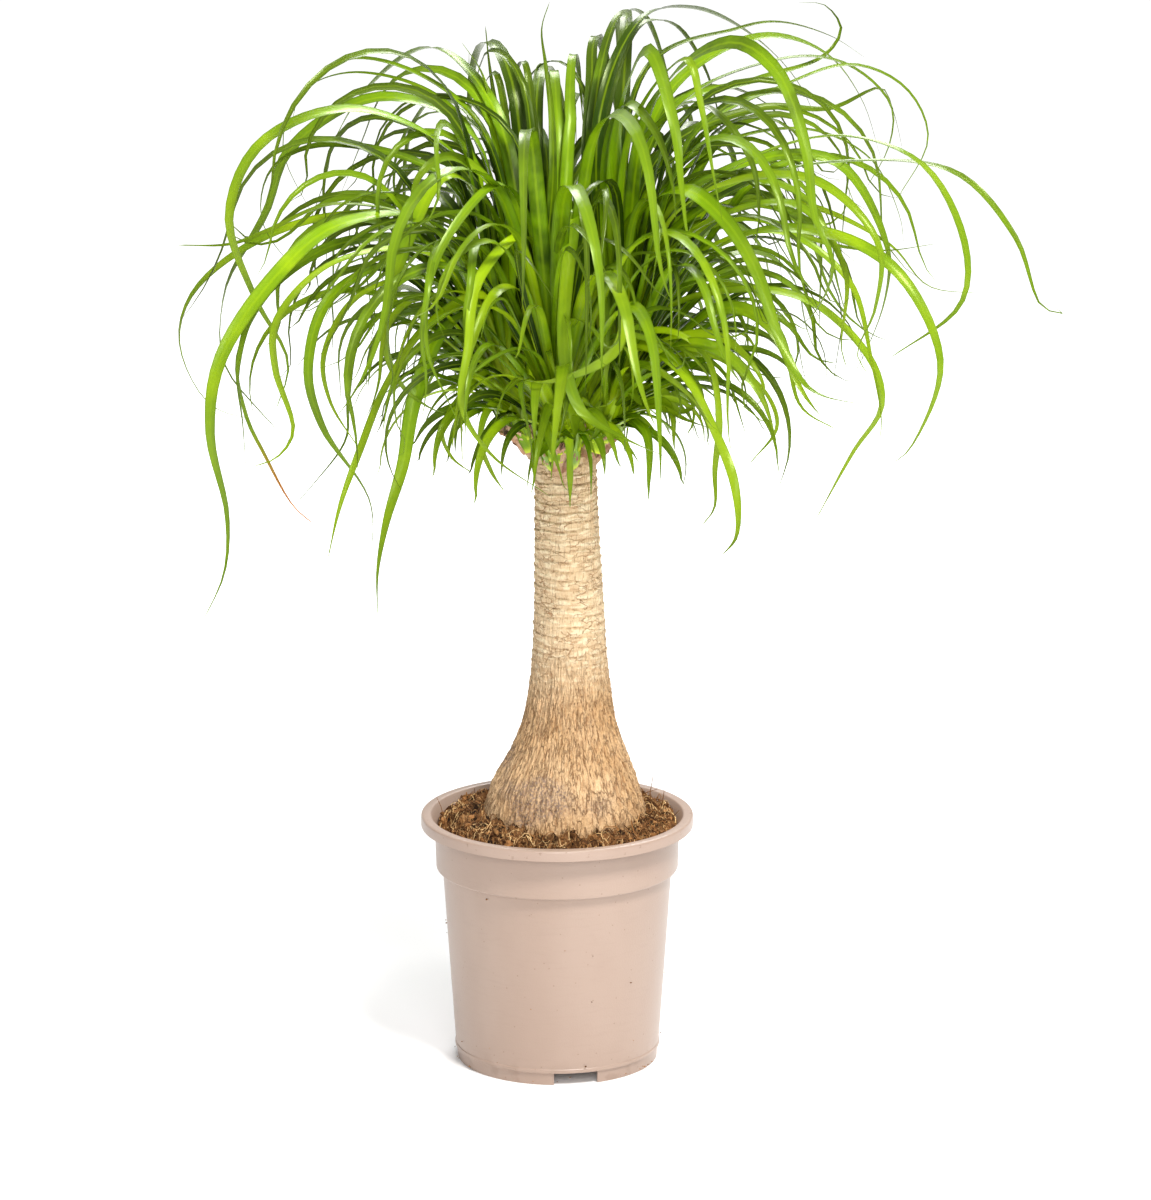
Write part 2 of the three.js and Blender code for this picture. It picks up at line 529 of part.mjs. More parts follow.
// Roll that turns the upper face of a sideways blade a little to the front
function facingRoll(bearing) {
  return toRadians(FACING_ROLL) * Math.cos(bearing);
}

// Root of a leaf: a little out from the core's middle on the leaf's own side
function rootAt(head, reach, bearing) {
  const out = new THREE.Vector3(Math.cos(bearing), Math.sin(bearing), 0);
  return head.foot.clone().addScaledVector(head.up, reach).addScaledVector(out, ROOT_OFFSET);
}

// Leaf drawn by rule: it rises from its root, bends over in an arc, hangs no lower than a drawn height, and
// flicks its tip
function ruledLeaf(head, rank, number, draw) {
  const spread = ((number + 0.5) * GOLDEN_TURN + 0.08 * draw()) % 1;
  const bearing = head.bearing + toRadians(RULED_SPREAD * (2 * spread - 1));
  const rankedRise = RISE_ANGLE.lowest + RISE_ANGLE.gain * rank ** RISE_ANGLE.power;
  const rise = rankedRise + RISE_ANGLE.jitter * (draw() - 0.5);
  const drawnRise = RISE_LENGTH.lowest + RISE_LENGTH.gain * rank + RISE_LENGTH.jitter * (draw() - 0.5);
  const riseLength = Math.max(RISE_LENGTH.least, drawnRise);
  const hang = HANG_ANGLE.least + HANG_ANGLE.jitter * draw();
  const bendRadius = BEND_RADIUS.lowest + BEND_RADIUS.gain * rank + BEND_RADIUS.jitter * draw();
  const bendLength = bendRadius * toRadians(rise - hang);
  const root = rootAt(head, ROOT_REACH.lowest + ROOT_REACH.gain * rank, bearing);
  const bendDrop = bendRadius * (Math.cos(toRadians(rise)) - Math.cos(toRadians(hang)));
  const bendFoot = root.z + riseLength * Math.sin(toRadians(rise)) - bendDrop;
  const lowestTip = LOWEST_TIP.least + LOWEST_TIP.jitter * draw();
  const room = (bendFoot - lowestTip) / Math.sin(toRadians(-hang));
  const drawnHang = HANG_LENGTH.least + HANG_LENGTH.jitter * draw();
  const hangLength = Math.max(HANG_LENGTH.fewest, Math.min(drawnHang, room));
  const flick = TIP_FLICK.most * draw() ** TIP_FLICK.power;
  const width = RULED_WIDTH.least + RULED_WIDTH.jitter * draw();
  const sweep = toRadians(SWEEP_JITTER * (draw() - 0.5));
  const roll = facingRoll(bearing) + toRadians(ROLL_JITTER * (draw() - 0.5));
  const length = riseLength + bendLength + hangLength;
  const pitches = [
    [0, rise + RISE_ANGLE.atRoot],
    [riseLength, rise + RISE_ANGLE.atBend],
    [riseLength + bendLength, hang],
    [length, hang + flick],
  ];
  const line = [root];
  for (let k = 0; k < LINE_STEPS; k += 1) {
    const along = (k + 0.5) / LINE_STEPS;
    const pitch = toRadians(readTable(pitches, along * length, 1));
    const heading = bearing + sweep * along * along;
    const step = new THREE.Vector3(
      Math.cos(pitch) * Math.cos(heading),
      Math.cos(pitch) * Math.sin(heading),
      Math.sin(pitch),
    ).multiplyScalar(length / LINE_STEPS);
    line.push(line[k].clone().add(step));
  }
  const bendAt = (share) => (riseLength + share * bendLength) / length;
  const stations = [0, ...BEND_STATIONS.map(bendAt), (bendAt(1) + 1) / 2, 1];
  return makeBlade(head, line, { bearing, width, roll, stations });
}

// Point that the front view shows at a sideways place and height, at a given depth behind the trunk's axis
function seenAtDepth(sideways, height, depth) {
  const share = (depth - EYE.y) / -EYE.y;
  return new THREE.Vector3(EYE.x + (sideways - EYE.x) * share, depth, EYE.z + (height - EYE.z) * share);
}

// The same, on the upright plane through a head's foot at a bearing
function seenOnBearing(sideways, height, foot, bearing) {
  const slope = (sideways - EYE.x) / -EYE.y;
  const shift = EYE.x - foot.x + slope * (foot.y - EYE.y);
  const reach = shift / (Math.cos(bearing) - slope * Math.sin(bearing));
  return seenAtDepth(sideways, height, foot.y + reach * Math.sin(bearing));
}

// Leaf through traced points, from a root that stands higher on the core the higher the leaf climbs
function tracedLeaf(head, bearing, width, points) {
  const crest = Math.max(...points.map((point) => point.z));
  const climb = THREE.MathUtils.clamp((crest - CREST_LOWEST) / (CREST_HIGHEST - CREST_LOWEST), 0, 1);
  const root = rootAt(head, ROOT_REACH.lowest + ROOT_REACH.gain * climb, bearing);
  const stations = Array.from({ length: TRACED_SEGMENTS + 1 }, (_, k) => k / TRACED_SEGMENTS);
  return makeBlade(head, [root, ...points], { bearing, width, roll: facingRoll(bearing), stations });
}

function makeCore(head) {
  const rings = CORE_PROFILE.map(([reach, radius]) => (
    ringAbout(head.foot.clone().addScaledVector(head.up, reach), head.up, head.side, radius, CORE_SIDES)));
  return loft(rings);
}

// One head: its core, the traced leaves whose bearing falls in its sector, and ruled leaves to fill it
function makeHead(number) {
  const head = headFrame(number);
  const draw = seededDraws(LEAF_SEED + number);
  const pieces = [makeCore(head)];
  const halfSector = Math.cos(toRadians(SECTOR / 2));
  const belongs = (bearing) => Math.cos(toRadians(bearing) - head.bearing) > halfSector;
  for (const [bearing, width, ...points] of TRACED_SIDE_LEAVES) {
    if (!belongs(bearing)) continue;
    const places = points.map(([sideways, height]) => (
      seenOnBearing(sideways, height, head.foot, toRadians(bearing))));
    pieces.push(tracedLeaf(head, toRadians(bearing), width, places));
  }
  for (const [bearing, width, ...points] of TRACED_DEEP_LEAVES) {
    if (!belongs(bearing)) continue;
    const places = points.map(([sideways, height, depth]) => seenAtDepth(sideways, height, depth));
    pieces.push(tracedLeaf(head, toRadians(bearing), width, places));
  }
  const ruled = Math.max(FEWEST_RULED, LEAVES_PER_HEAD + 1 - pieces.length);
  for (let k = 0; k < ruled; k += 1) pieces.push(ruledLeaf(head, k / (ruled - 1), k, draw));
  return wasm.Manifold.union(pieces);
}

const plant = new THREE.Group();

function addPart(name, solid, material) {
  const mesh = new THREE.Mesh(geometryOf(solid), material);
  mesh.name = name;
  plant.add(mesh);
}

addPart('pot', makePot(), FINISHES.plastic);
addPart('soil', makeMix(), FINISHES.mix);
addPart('trunk', makeTrunk(0), FINISHES.bark);
HEADS.forEach(([name], number) => addPart(name, makeHead(number), FINISHES.leaf));

export default plant;
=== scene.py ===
"""Finished look of a ponytail palm in its plastic nursery pot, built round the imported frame.

Sizes are in millimetres, as the plant was measured. MM turns them into the scene's metres at the last step.
The origin is the centre of the pot's underside, +Z is up and the front is -Y.
"""

import logging
import math
from collections.abc import Callable, Iterator, Sequence
from dataclasses import dataclass, field
from enum import Enum

import bmesh
import bpy
import numpy as np
from mathutils import Matrix, Vector, noise

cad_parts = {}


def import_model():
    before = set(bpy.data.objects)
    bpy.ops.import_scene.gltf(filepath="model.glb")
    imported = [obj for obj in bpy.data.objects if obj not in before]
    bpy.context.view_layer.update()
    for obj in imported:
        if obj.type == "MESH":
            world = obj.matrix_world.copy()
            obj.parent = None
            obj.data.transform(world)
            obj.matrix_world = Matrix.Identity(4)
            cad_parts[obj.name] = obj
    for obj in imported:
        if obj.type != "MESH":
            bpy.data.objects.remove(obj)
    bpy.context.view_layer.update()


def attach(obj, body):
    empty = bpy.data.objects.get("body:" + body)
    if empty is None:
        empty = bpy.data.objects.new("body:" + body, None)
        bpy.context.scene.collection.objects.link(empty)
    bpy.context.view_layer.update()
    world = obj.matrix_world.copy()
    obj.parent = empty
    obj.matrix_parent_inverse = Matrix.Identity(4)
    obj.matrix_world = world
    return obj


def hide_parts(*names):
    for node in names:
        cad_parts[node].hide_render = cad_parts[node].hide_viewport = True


MM = 0.001
BODY = "root"
BLADE_MAP = "blade"
LOG = logging.getLogger("ponytail_palm")

Colour = tuple[float, float, float, float]
Draw = Callable[[], float]
Socket = bpy.types.NodeSocket
Table = Sequence[Sequence[float]]
Triple = tuple[float, float, float]


class Slot(Enum):
    """Material slots of the record that the pieces belong to; the script passes them on but never reads them.
    """

    POT = "pot_plastic"
    MIX = "potting_mix"
    BARK = "bark"
    LEAF = "leaf"


def seeded_draws(seed: int) -> Draw:
    """Make a stream of draws between 0 and 1 by the mulberry32 rule, the same on every run.

    Args:
        seed: The whole number that the stream starts from.

    Returns:
        A function that gives the next draw.
    """
    word = 0xFFFFFFFF
    stride = 0x6D2B79F5
    state = seed & word

    def draw() -> float:
        """Give the next draw of the stream.

        Returns:
            The draw, between 0 and 1.
        """
        nonlocal state
        state = (state + stride) & word
        mixed = ((state ^ (state >> 15)) * (1 | state)) & word
        mixed = ((mixed + (((mixed ^ (mixed >> 7)) * (61 | mixed)) & word)) & word) ^ mixed
        return ((mixed ^ (mixed >> 14)) & word) / (word + 1)

    return draw


def smooth_step(value: float, low: float, high: float) -> float:
    """Ease from 0 to 1 as a value goes from low to high.

    Args:
        value: Where on the way it is.
        low: Value at which the result leaves 0.
        high: Value at which the result reaches 1.

    Returns:
        The eased share.
    """
    share = min(max((value - low) / (high - low), 0.0), 1.0)
    return share * share * (3 - 2 * share)


def read_table(rows: Table, at: float, column: int) -> float:
    """Read a value from rows of numbers by the first of them.

    Args:
        rows: Rows in rising order of their first number.
        at: First number to read at.
        column: Which number of the row to read.

    Returns:
        The value, worked out in a straight line between two rows.
    """
    return float(np.interp(at, [row[0] for row in rows], [row[column] for row in rows]))


def polar(radius: float, turn: float, height: float = 0) -> Vector:
    """Give the point at a distance and direction from an upright axis, and at a height."""
    return Vector((radius * math.cos(turn), radius * math.sin(turn), height))


def ridged(place: Vector) -> float:
    """Give noise folded into ridges: 1 on a ridge, falling off on both its sides."""
    return 1 - 2 * abs(noise.noise(place))


def placed(name: str, data: bpy.types.ID) -> bpy.types.Object:
    """Make an object and put it in the scene.

    Args:
        name: The object's name.
        data: Its mesh, light or camera.

    Returns:
        The object.
    """
    made = bpy.data.objects.new(name, data)
    bpy.context.scene.collection.objects.link(made)
    return made


@dataclass(frozen=True)
class PotSizes:
    """Driving dimensions of the pot, in millimetres, as in the part's source."""

    height: float = 195
    rim_radius: float = 105
    rim_depth: float = 8.7
    rim_plate: float = 2
    lip_radius: float = 97.3
    collar_radius: float = 94.3
    collar_foot_radius: float = 93.5
    step_height: float = 153
    body_top_radius: float = 88.5
    body_foot_radius: float = 79
    floor_underside: float = 9.5
    floor_top: float = 11.5
    foot_ring_radius: float = 77.5
    foot_ring_width: float = 2.6
    bead_radius: float = 79.5
    bead_height: float = 3.2
    wall: float = 1.7
    step_rise: float = 0.8
    corner_ease: float = 0.4
    floor_corner: tuple[float, float] = (0.6, 2)
    pad_radius: float = 25
    notch_width: float = 34
    notch_count: int = 3
    notch_bearing: float = -79.1
    drain_hole_count: int = 6
    drain_hole_radius: float = 5
    drain_hole_circle: float = 52

    def inside(self) -> list[tuple[float, float]]:
        """Give the pot's inner face from the floor to the lip.

        Returns:
            Height and radius of each corner.
        """
        corner_in, corner_up = self.floor_corner
        step_inside = self.step_height + self.wall
        return [
            (self.floor_top, self.body_foot_radius - self.wall - corner_in),
            (self.floor_top + corner_up, self.body_foot_radius - self.wall),
            (self.step_height - self.corner_ease, self.body_top_radius - self.wall),
            (step_inside, self.body_top_radius - self.wall + self.corner_ease),
            (step_inside + self.step_rise, self.collar_foot_radius - self.wall),
            (self.height - self.rim_depth - 0.3, self.collar_radius - self.wall),
            (self.height - self.corner_ease, self.lip_radius),
        ]


@dataclass(frozen=True)
class MixSizes:
    """Driving dimensions of the potting mix's surface, in millimetres, as in the part's source."""

    heap_radius: float = 66
    heap_level: float = 195.5
    left_rise: float = 3
    edge_level: float = 187
    right_rise: float = 4
    right_bearing: float = 0.7
    edge_gap: float = 2

    def level(self, radius: float, turn: float) -> float:
        """Give the height of the surface at a place.

        Args:
            radius: Distance from the pot's axis.
            turn: Direction from the axis, in radians.

        Returns:
            The height above the floor.
        """
        heap = smooth_step(POT.lip_radius - radius, self.edge_gap, POT.lip_radius - self.heap_radius)
        high = self.heap_level + self.left_rise * max(0.0, -math.cos(turn))
        low = self.edge_level + self.right_rise * max(0.0, math.cos(turn - self.right_bearing)) ** 2
        return low + (high - low) * heap


@dataclass(frozen=True)
class TrunkSizes:
    """Driving dimensions of the trunk and of the heads' places on it, in millimetres."""

    axis_x: float = 6.5
    stem_foot: float = 286
    stem_top: float = 492
    cut_top_depth: float = 7
    root_count: int = 6
    root_route: Table = ((26, 128, 9), (52, 112, 6.5), (64, 84, 4.5), (66, 52, 2.6), (66.5, 49.5, 0.4))
    profile: Table = (
        (92, 10, 5), (98, 26, 5), (110, 44, 5), (128, 58, 5), (150, 65, 5), (175, 66.5, 5.4),
        (196, 63, 5.4), (220.5, 55.8, 6), (230, 51.6, 7.2), (240, 46.9, 8), (249, 42.6, 8.6),
        (259, 38.8, 8.9), (268, 35.8, 9.3), (278, 33.6, 9.6), (286, 32.4, 9.7), (306, 29.8, 9.8),
        (326, 28.1, 9.5), (364, 26.4, 9.2), (402, 25, 8), (440, 23.9, 7.1), (469, 23.3, 6.6),
        (492, 22.6, 6.5),
    )


@dataclass(frozen=True)
class HeadSizes:
    """Driving dimensions that the leafy heads share, in millimetres and degrees, as in the part's source."""

    places: tuple[tuple[str, float, float], ...] = (
        ("head_front", 26, 493),
        ("head_right", 27, 499),
        ("head_back_right", 25.5, 503),
        ("head_back_left", 25.5, 505),
        ("head_left", 30, 503),
    )
    first_bearing: float = -99
    sector: float = 72
    lean: float = 26
    stub_profile: Table = ((-26, 10.6), (-6, 13.5), (0, 13.2))
    core_profile: Table = ((0.35, 12.4), (7, 14.6), (20, 15.2), (40, 11.5), (62, 6), (80, 2.5))
    keel_depth: float = 1.7
    margin: float = 0.6
    facing_roll: float = 38
    leaves: int = 29
    root_offset: float = 5
    crest_lowest: float = 512
    crest_highest: float = 820
    fewest_ruled: int = 10
    ruled_spread: float = 43
    golden_turn: float = 0.618034
    loose_leaves: tuple[int, ...] = (40, 44, 84, 76, 40)
    seed: int = 20
    line_steps: int = 18
    root_lowest: float = 5
    root_gain: float = 38


POT = PotSizes()
MIX = MixSizes()
TRUNK = TrunkSizes()
HEADS = HeadSizes()

# The front view that the traced leaves were read from
EYE = Vector((14.15, -4074, 1383.6))

# Leaves traced from the front view: bearing round the trunk in degrees (0 is right, 90 back, 180 left),
# greatest width, then points from the first bend to the tip, each as sideways place and height in that view
TRACED_SIDE_LEAVES = (
    (208, 14, (-60, 690), (-150, 743), (-222, 716), (-246, 662), (-228, 600), (-203, 548), (-214, 509)),
    (186, 9, (-80, 645), (-165, 671), (-218, 650), (-245, 640), (-286, 639)),
    (164, 9, (-90, 655), (-165, 662), (-230, 640), (-276, 600), (-285, 562), (-262, 516), (-211, 502)),
    (157, 13, (-60, 720), (-130, 752), (-200, 712), (-218, 665), (-250, 605), (-252, 550), (-222, 508),
     (-197, 482)),
    (213, 15, (-90, 655), (-165, 655), (-215, 612), (-255, 550), (-263, 495), (-251, 430), (-254, 385),
     (-272, 345)),
    (206, 10, (-90, 635), (-165, 640), (-225, 595), (-241, 545), (-238, 500), (-236, 462)),
    (194, 9, (-100, 640), (-185, 632), (-240, 560), (-236, 510), (-222, 478), (-200, 437), (-183, 422)),
    (216, 12, (-90, 630), (-170, 625), (-212, 580), (-213, 545), (-200, 495), (-212, 476), (-232, 468)),
    (172, 7, (-70, 680), (-170, 716), (-213, 698), (-222, 660), (-200, 625), (-188, 620)),
    (151, 6, (-60, 735), (-150, 781), (-195, 748), (-205, 712), (-180, 655)),
    (146, 5, (-70, 735), (-145, 770), (-190, 755), (-200, 722)),
    (134, 13, (-45, 740), (-90, 789), (-140, 760), (-168, 715), (-172, 695), (-188, 650)),
    (221, 12, (-40, 670), (-80, 707), (-104, 690), (-110, 650), (-112, 620)),
    (219, 14, (-45, 660), (-83, 693), (-113, 640), (-130, 570), (-120, 535), (-92, 512), (-72, 509)),
    (222, 12, (-52, 600), (-100, 575), (-130, 530), (-150, 480), (-165, 438), (-175, 395)),
    (217, 14, (-56, 590), (-85, 575), (-108, 520), (-117, 470), (-130, 425), (-137, 385), (-137, 348)),
    (198, 10, (-110, 625), (-170, 600), (-188, 545), (-178, 500), (-142, 440), (-143, 384)),
    (210, 9, (-90, 612), (-150, 600), (-176, 555), (-172, 520), (-150, 482)),
    (182, 6, (-90, 600), (-145, 575), (-158, 520), (-160, 490), (-185, 455), (-200, 438)),
    (216, 7, (-45, 545), (-80, 515), (-87, 495), (-80, 476), (-64, 463)),
    (208, 9, (-36, 525), (-52, 513), (-58, 490), (-50, 465), (-40, 449)),
    (196, 7, (-38, 516), (-46, 505), (-50, 492)),
    (125, 11, (-33, 700), (-46, 770), (-58, 750), (-57, 725)),
    (108, 10, (-16, 710), (-24, 778), (-33, 762), (-36, 735)),
    (132, 8, (-35, 680), (-47, 740), (-56, 770), (-71, 793)),
    (120, 8, (-30, 660), (-43, 730), (-50, 775), (-53, 805)),
    (58, 10, (32, 735), (60, 808), (100, 819), (150, 795), (182, 760), (200, 720)),
    (35, 9, (75, 735), (150, 765), (200, 783), (212, 802), (200, 820), (180, 822)),
    (45, 6, (65, 770), (135, 803), (165, 808), (205, 797), (230, 781)),
    (32, 11, (80, 750), (150, 797), (200, 785), (228, 750), (243, 705)),
    (24, 9, (80, 735), (165, 780), (215, 777), (250, 745), (249, 715), (232, 682)),
    (12, 10, (75, 705), (150, 743), (205, 743), (243, 758), (252, 740), (259, 712)),
    (18, 8, (80, 705), (175, 763), (222, 776), (262, 757), (278, 720), (255, 673)),
    (-24, 13, (80, 660), (150, 708), (215, 723), (275, 700), (307, 640), (305, 595), (250, 551)),
    (-18, 12, (75, 635), (150, 690), (220, 704), (300, 694), (345, 645), (366, 592), (382, 587), (374, 593)),
    (26, 6, (100, 700), (180, 728), (235, 705), (258, 660), (261, 640)),
    (-12, 8, (75, 625), (140, 660), (205, 640), (245, 635), (285, 640)),
    (5, 7, (90, 640), (170, 672), (250, 640), (280, 608), (320, 602)),
    (-32, 13, (75, 600), (150, 650), (215, 645), (260, 615), (290, 550), (275, 495), (258, 473), (240, 474)),
    (-44, 14, (70, 745), (130, 793), (165, 770), (186, 715), (194, 660), (208, 625), (195, 588), (170, 568)),
    (-56, 11, (55, 725), (98, 780), (108, 745), (118, 690), (125, 655)),
    (-60, 15, (46, 735), (68, 787), (88, 730), (94, 680), (100, 640), (112, 620)),
    (-61, 14, (38, 715), (52, 747), (74, 725), (86, 690), (90, 655)),
    (-38, 12, (60, 710), (110, 745), (145, 705), (152, 660), (148, 635)),
    (-47, 14, (55, 655), (95, 682), (125, 660), (150, 620), (168, 568), (190, 530), (225, 518), (245, 517)),
    (-52, 15, (50, 562), (75, 560), (100, 535), (118, 500), (135, 455), (137, 415), (125, 398)),
    (-48, 11, (55, 566), (90, 572), (115, 550), (123, 505), (120, 465), (120, 437), (110, 422)),
    (-27, 9, (80, 600), (140, 610), (170, 570), (185, 515), (212, 497)),
    (-15, 12, (70, 582), (130, 605), (190, 597), (238, 550), (246, 515), (225, 480), (196, 425)),
    (-30, 11, (90, 640), (180, 670), (217, 620), (215, 560), (220, 543)),
    (-36, 11, (90, 665), (190, 690), (242, 640), (240, 590), (227, 555), (237, 538)),
    (-5, 10, (100, 680), (205, 705), (248, 640), (248, 600), (230, 550), (212, 522)),
    (-20, 9, (90, 620), (165, 650), (220, 612), (238, 550), (246, 505), (245, 488)),
    (-40, 9, (60, 556), (120, 570), (150, 545), (157, 525), (146, 513), (138, 517)),
    (-10, 9, (60, 544), (120, 554), (155, 530), (167, 500), (146, 470)),
    (-42, 8, (48, 508), (75, 515), (100, 504), (114, 499)),
    (-55, 7, (46, 502), (62, 507), (76, 495)),
)

# Leaves traced from the front view that come towards it or lean away: bearing, width, then points as sideways
# place and height in that view, and depth behind the trunk's axis
TRACED_DEEP_LEAVES = (
    (-90, 16, (6, 610, -40), (12, 668, -78), (8, 618, -118), (5, 570, -136), (9, 535, -144), (20, 510, -150),
     (50, 491, -166), (106, 467, -205)),
    (-95, 9, (4, 509, -42), (9, 490, -50), (10, 462, -52), (10, 436, -48)),
    (-80, 8, (12, 508, -40), (22, 493, -46), (30, 476, -48)),
    (-112, 10, (-9, 625, -54), (-27, 647, -90), (-60, 610, -140), (-67, 560, -165), (-72, 515, -170),
     (-50, 478, -165), (-5, 445, -150)),
    (-75, 13, (24, 585, -55), (42, 612, -98), (51, 585, -122), (44, 558, -137), (20, 542, -144),
     (-15, 534, -142), (-60, 550, -134)),
    (-78, 11, (22, 570, -50), (32, 609, -76), (36, 590, -96), (38, 550, -104), (36, 520, -100)),
    (-70, 7, (16, 522, -42), (26, 515, -56), (38, 517, -74), (45, 523, -88)),
    (-100, 9, (8, 526, -42), (-3, 519, -48), (-16, 508, -52)),
    (-120, 10, (-22, 600, -64), (-45, 604, -110), (-62, 570, -140), (-74, 522, -152), (-80, 480, -156)),
    (-125, 10, (-20, 655, -55), (-45, 686, -105), (-85, 640, -150), (-98, 600, -165), (-97, 555, -172),
     (-84, 523, -174), (-74, 502, -172)),
    (112, 8, (-3, 690, 28), (-4, 740, 38), (-8, 775, 44), (-11, 803, 48), (-5, 823, 52)),
    (79, 12, (24, 690, 40), (26, 765, 75), (27, 797, 110), (34, 790, 145), (44, 745, 175), (52, 690, 190)),
    (74, 11, (26, 700, 40), (34, 780, 80), (48, 815, 125), (66, 812, 165), (82, 770, 195), (92, 715, 205)),
    (70, 12, (28, 680, 38), (42, 765, 70), (62, 806, 105), (88, 806, 135), (112, 770, 155), (126, 715, 165)),
    (88, 11, (12, 690, 40), (10, 752, 70), (12, 783, 105), (16, 775, 140), (20, 730, 165)),
    (95, 12, (3, 680, 40), (0, 748, 75), (-2, 772, 110), (-4, 755, 145), (-6, 705, 165)),
)

# End of the traced leaf whose tip has dried
DRY_TIP = (-183, 422)


class NodeSketch:
    """Node tree of one material, with short calls for the nodes that the finishes share."""

    # Places of the colour mixing node's sockets: how much, first and second colour, and result
    MIX_INPUTS = (0, 6, 7)
    MIX_OUTPUT = 2

    def __init__(self, name: str) -> None:
        """Start a material with a Principled shader and Object coordinates.

        Args:
            name: The material's name.
        """
        self.material = bpy.data.materials.new(name)
        self.material.use_nodes = True
        self.tree = self.material.node_tree
        self.shader = self.tree.nodes["Principled BSDF"]
        self.place = self.node("ShaderNodeTexCoord").outputs["Object"]

    def node(self, kind: str, *values: object, **settings: object) -> bpy.types.Node:
        """Add a node.

        Args:
            kind: Type name of the node.
            *values: What its first inputs are fed with, in their own order.
            **settings: Properties of the node to set.

        Returns:
            The new node.
        """
        made = self.tree.nodes.new(kind)
        for key, value in settings.items():
            setattr(made, key, value)
        for socket, value in zip(made.inputs, values):
            self.feed(socket, value)
        return made

    def feed(self, socket: Socket, value: object) -> None:
        """Link another socket to an input, or set the input's own value.

        Args:
            socket: The input.
            value: The other socket, or the plain value.
        """
        if isinstance(value, Socket):
            self.tree.links.new(value, socket)
        else:
            socket.default_value = value

    def stretched(self, scale: Triple, place: Socket | None = None) -> Socket:
        """Give coordinates multiplied by a scale along each axis.

        Args:
            scale: The scale along each axis.
            place: The coordinates, or none for the Object coordinates.

        Returns:
            The scaled coordinates.
        """
        mapping = self.node("ShaderNodeMapping", place or self.place)
        mapping.inputs["Scale"].default_value = scale
        return mapping.outputs["Vector"]

    def noise(self, at: Socket, scale: float, detail: float = 4) -> Socket:
        """Give cloudy noise read at a place.

        Args:
            at: Coordinates to read it at.
            scale: How fine it is.
            detail: How many finer layers it has.

        Returns:
            The noise, about 0.5 on average.
        """
        made = self.node("ShaderNodeTexNoise", at)
        made.inputs["Scale"].default_value = scale
        made.inputs["Detail"].default_value = detail
        return made.outputs[0]

    def strands(self, scale: Triple, detail: float, place: Socket | None = None) -> Socket:
        """Give noise that is drawn out by its scale along each axis."""
        return self.noise(self.stretched(scale, place), 1, detail)

    def cells(self, at: Socket, scale: float, feature: str = "DISTANCE_TO_EDGE") -> Socket:
        """Give the distance in a pattern of cells, read at a place.

        Args:
            at: Coordinates to read it at.
            scale: How fine the cells are.
            feature: Which distance the cells give.

        Returns:
            The distance.
        """
        made = self.node("ShaderNodeTexVoronoi", at, feature=feature)
        made.inputs["Scale"].default_value = scale
        return made.outputs["Distance"]

    def span(self, value: object, low: float, high: float, to_low: float = 0, to_high: float = 1) -> Socket:
        """Stretch a value's range to another, with the ends held.

        Args:
            value: What to stretch.
            low: Value that becomes to_low.
            high: Value that becomes to_high.
            to_low: Result at low.
            to_high: Result at high.

        Returns:
            The stretched value.
        """
        ends = (value, low, high, to_low, to_high)
        return self.node("ShaderNodeMapRange", *ends, interpolation_type="SMOOTHSTEP").outputs[0]

    def math(self, operation: str, first: object, second: object = 0.0) -> Socket:
        """Give the result of a sum, which operation names, on one or two values."""
        return self.node("ShaderNodeMath", first, second, operation=operation).outputs[0]

    def vector(self, operation: str, *values: object) -> Socket:
        """Give the first result of a sum, which operation names, on vectors."""
        return self.node("ShaderNodeVectorMath", *values, operation=operation).outputs[0]

    def parts(self, vector: Socket) -> bpy.types.NodeOutputs:
        """Give a vector's three values, which are named X, Y and Z."""
        return self.node("ShaderNodeSeparateXYZ", vector).outputs

    def times(self, first: object, second: object) -> Socket:
        """Give the product of two values."""
        return self.math("MULTIPLY", first, second)

    def mix(self, share: object, first: object, second: object) -> Socket:
        """Mix two colours.

        Args:
            share: How much of the second colour shows.
            first: First colour.
            second: Second colour.

        Returns:
            The mixed colour.
        """
        made = self.node("ShaderNodeMix", data_type="RGBA")
        for index, value in zip(self.MIX_INPUTS, (share, first, second)):
            self.feed(made.inputs[index], value)
        return made.outputs[self.MIX_OUTPUT]

    def layered(self, colour: object, *coats: tuple[object, object]) -> Socket:
        """Lay coats over a colour, one after the other.

        Args:
            colour: The first colour.
            *coats: How much of each coat shows, and its colour.

        Returns:
            The colour with its coats.
        """
        for share, coat in coats:
            colour = self.mix(share, colour, coat)
        return colour

    def share(self, part: Socket, pattern: Socket, low: float, high: float, most: float) -> Socket:
        """Give how much of a coat a pattern shows on one part of the piece.

        Args:
            part: 1 on that part and 0 off it.
            pattern: The pattern.
            low: Value of the pattern where the coat starts.
            high: Value of the pattern where it is full.
            most: How much it then covers.

        Returns:
            The share.
        """
        return self.times(part, self.span(pattern, low, high, 0, most))

    def crossings(self, pattern: Socket, width: float) -> Socket:
        """Give thin lines where noise crosses its middle.

        Args:
            pattern: The noise.
            width: How far from its middle the noise still makes a line.

        Returns:
            1 on a line and 0 between the lines.
        """
        away = self.math("ABSOLUTE", self.math("SUBTRACT", pattern, 0.5))
        return self.span(away, width * 0.3, width, 1, 0)

    def wrapped(self, axis_x: float, radius: float) -> Socket:
        """Give coordinates on a straight cylinder round an upright axis, at the place's own height.

        Args:
            axis_x: Sideways place of the axis, in millimetres.
            radius: The cylinder's radius, in millimetres.

        Returns:
            The coordinates.
        """
        flat = self.vector("MULTIPLY_ADD", self.place, (1, 1, 0), (-axis_x * MM, 0, 0))
        outward = self.vector("NORMALIZE", flat)
        lift = self.vector("MULTIPLY", self.place, (0, 0, 1))
        return self.vector("MULTIPLY_ADD", outward, (radius * MM,) * 3, lift)

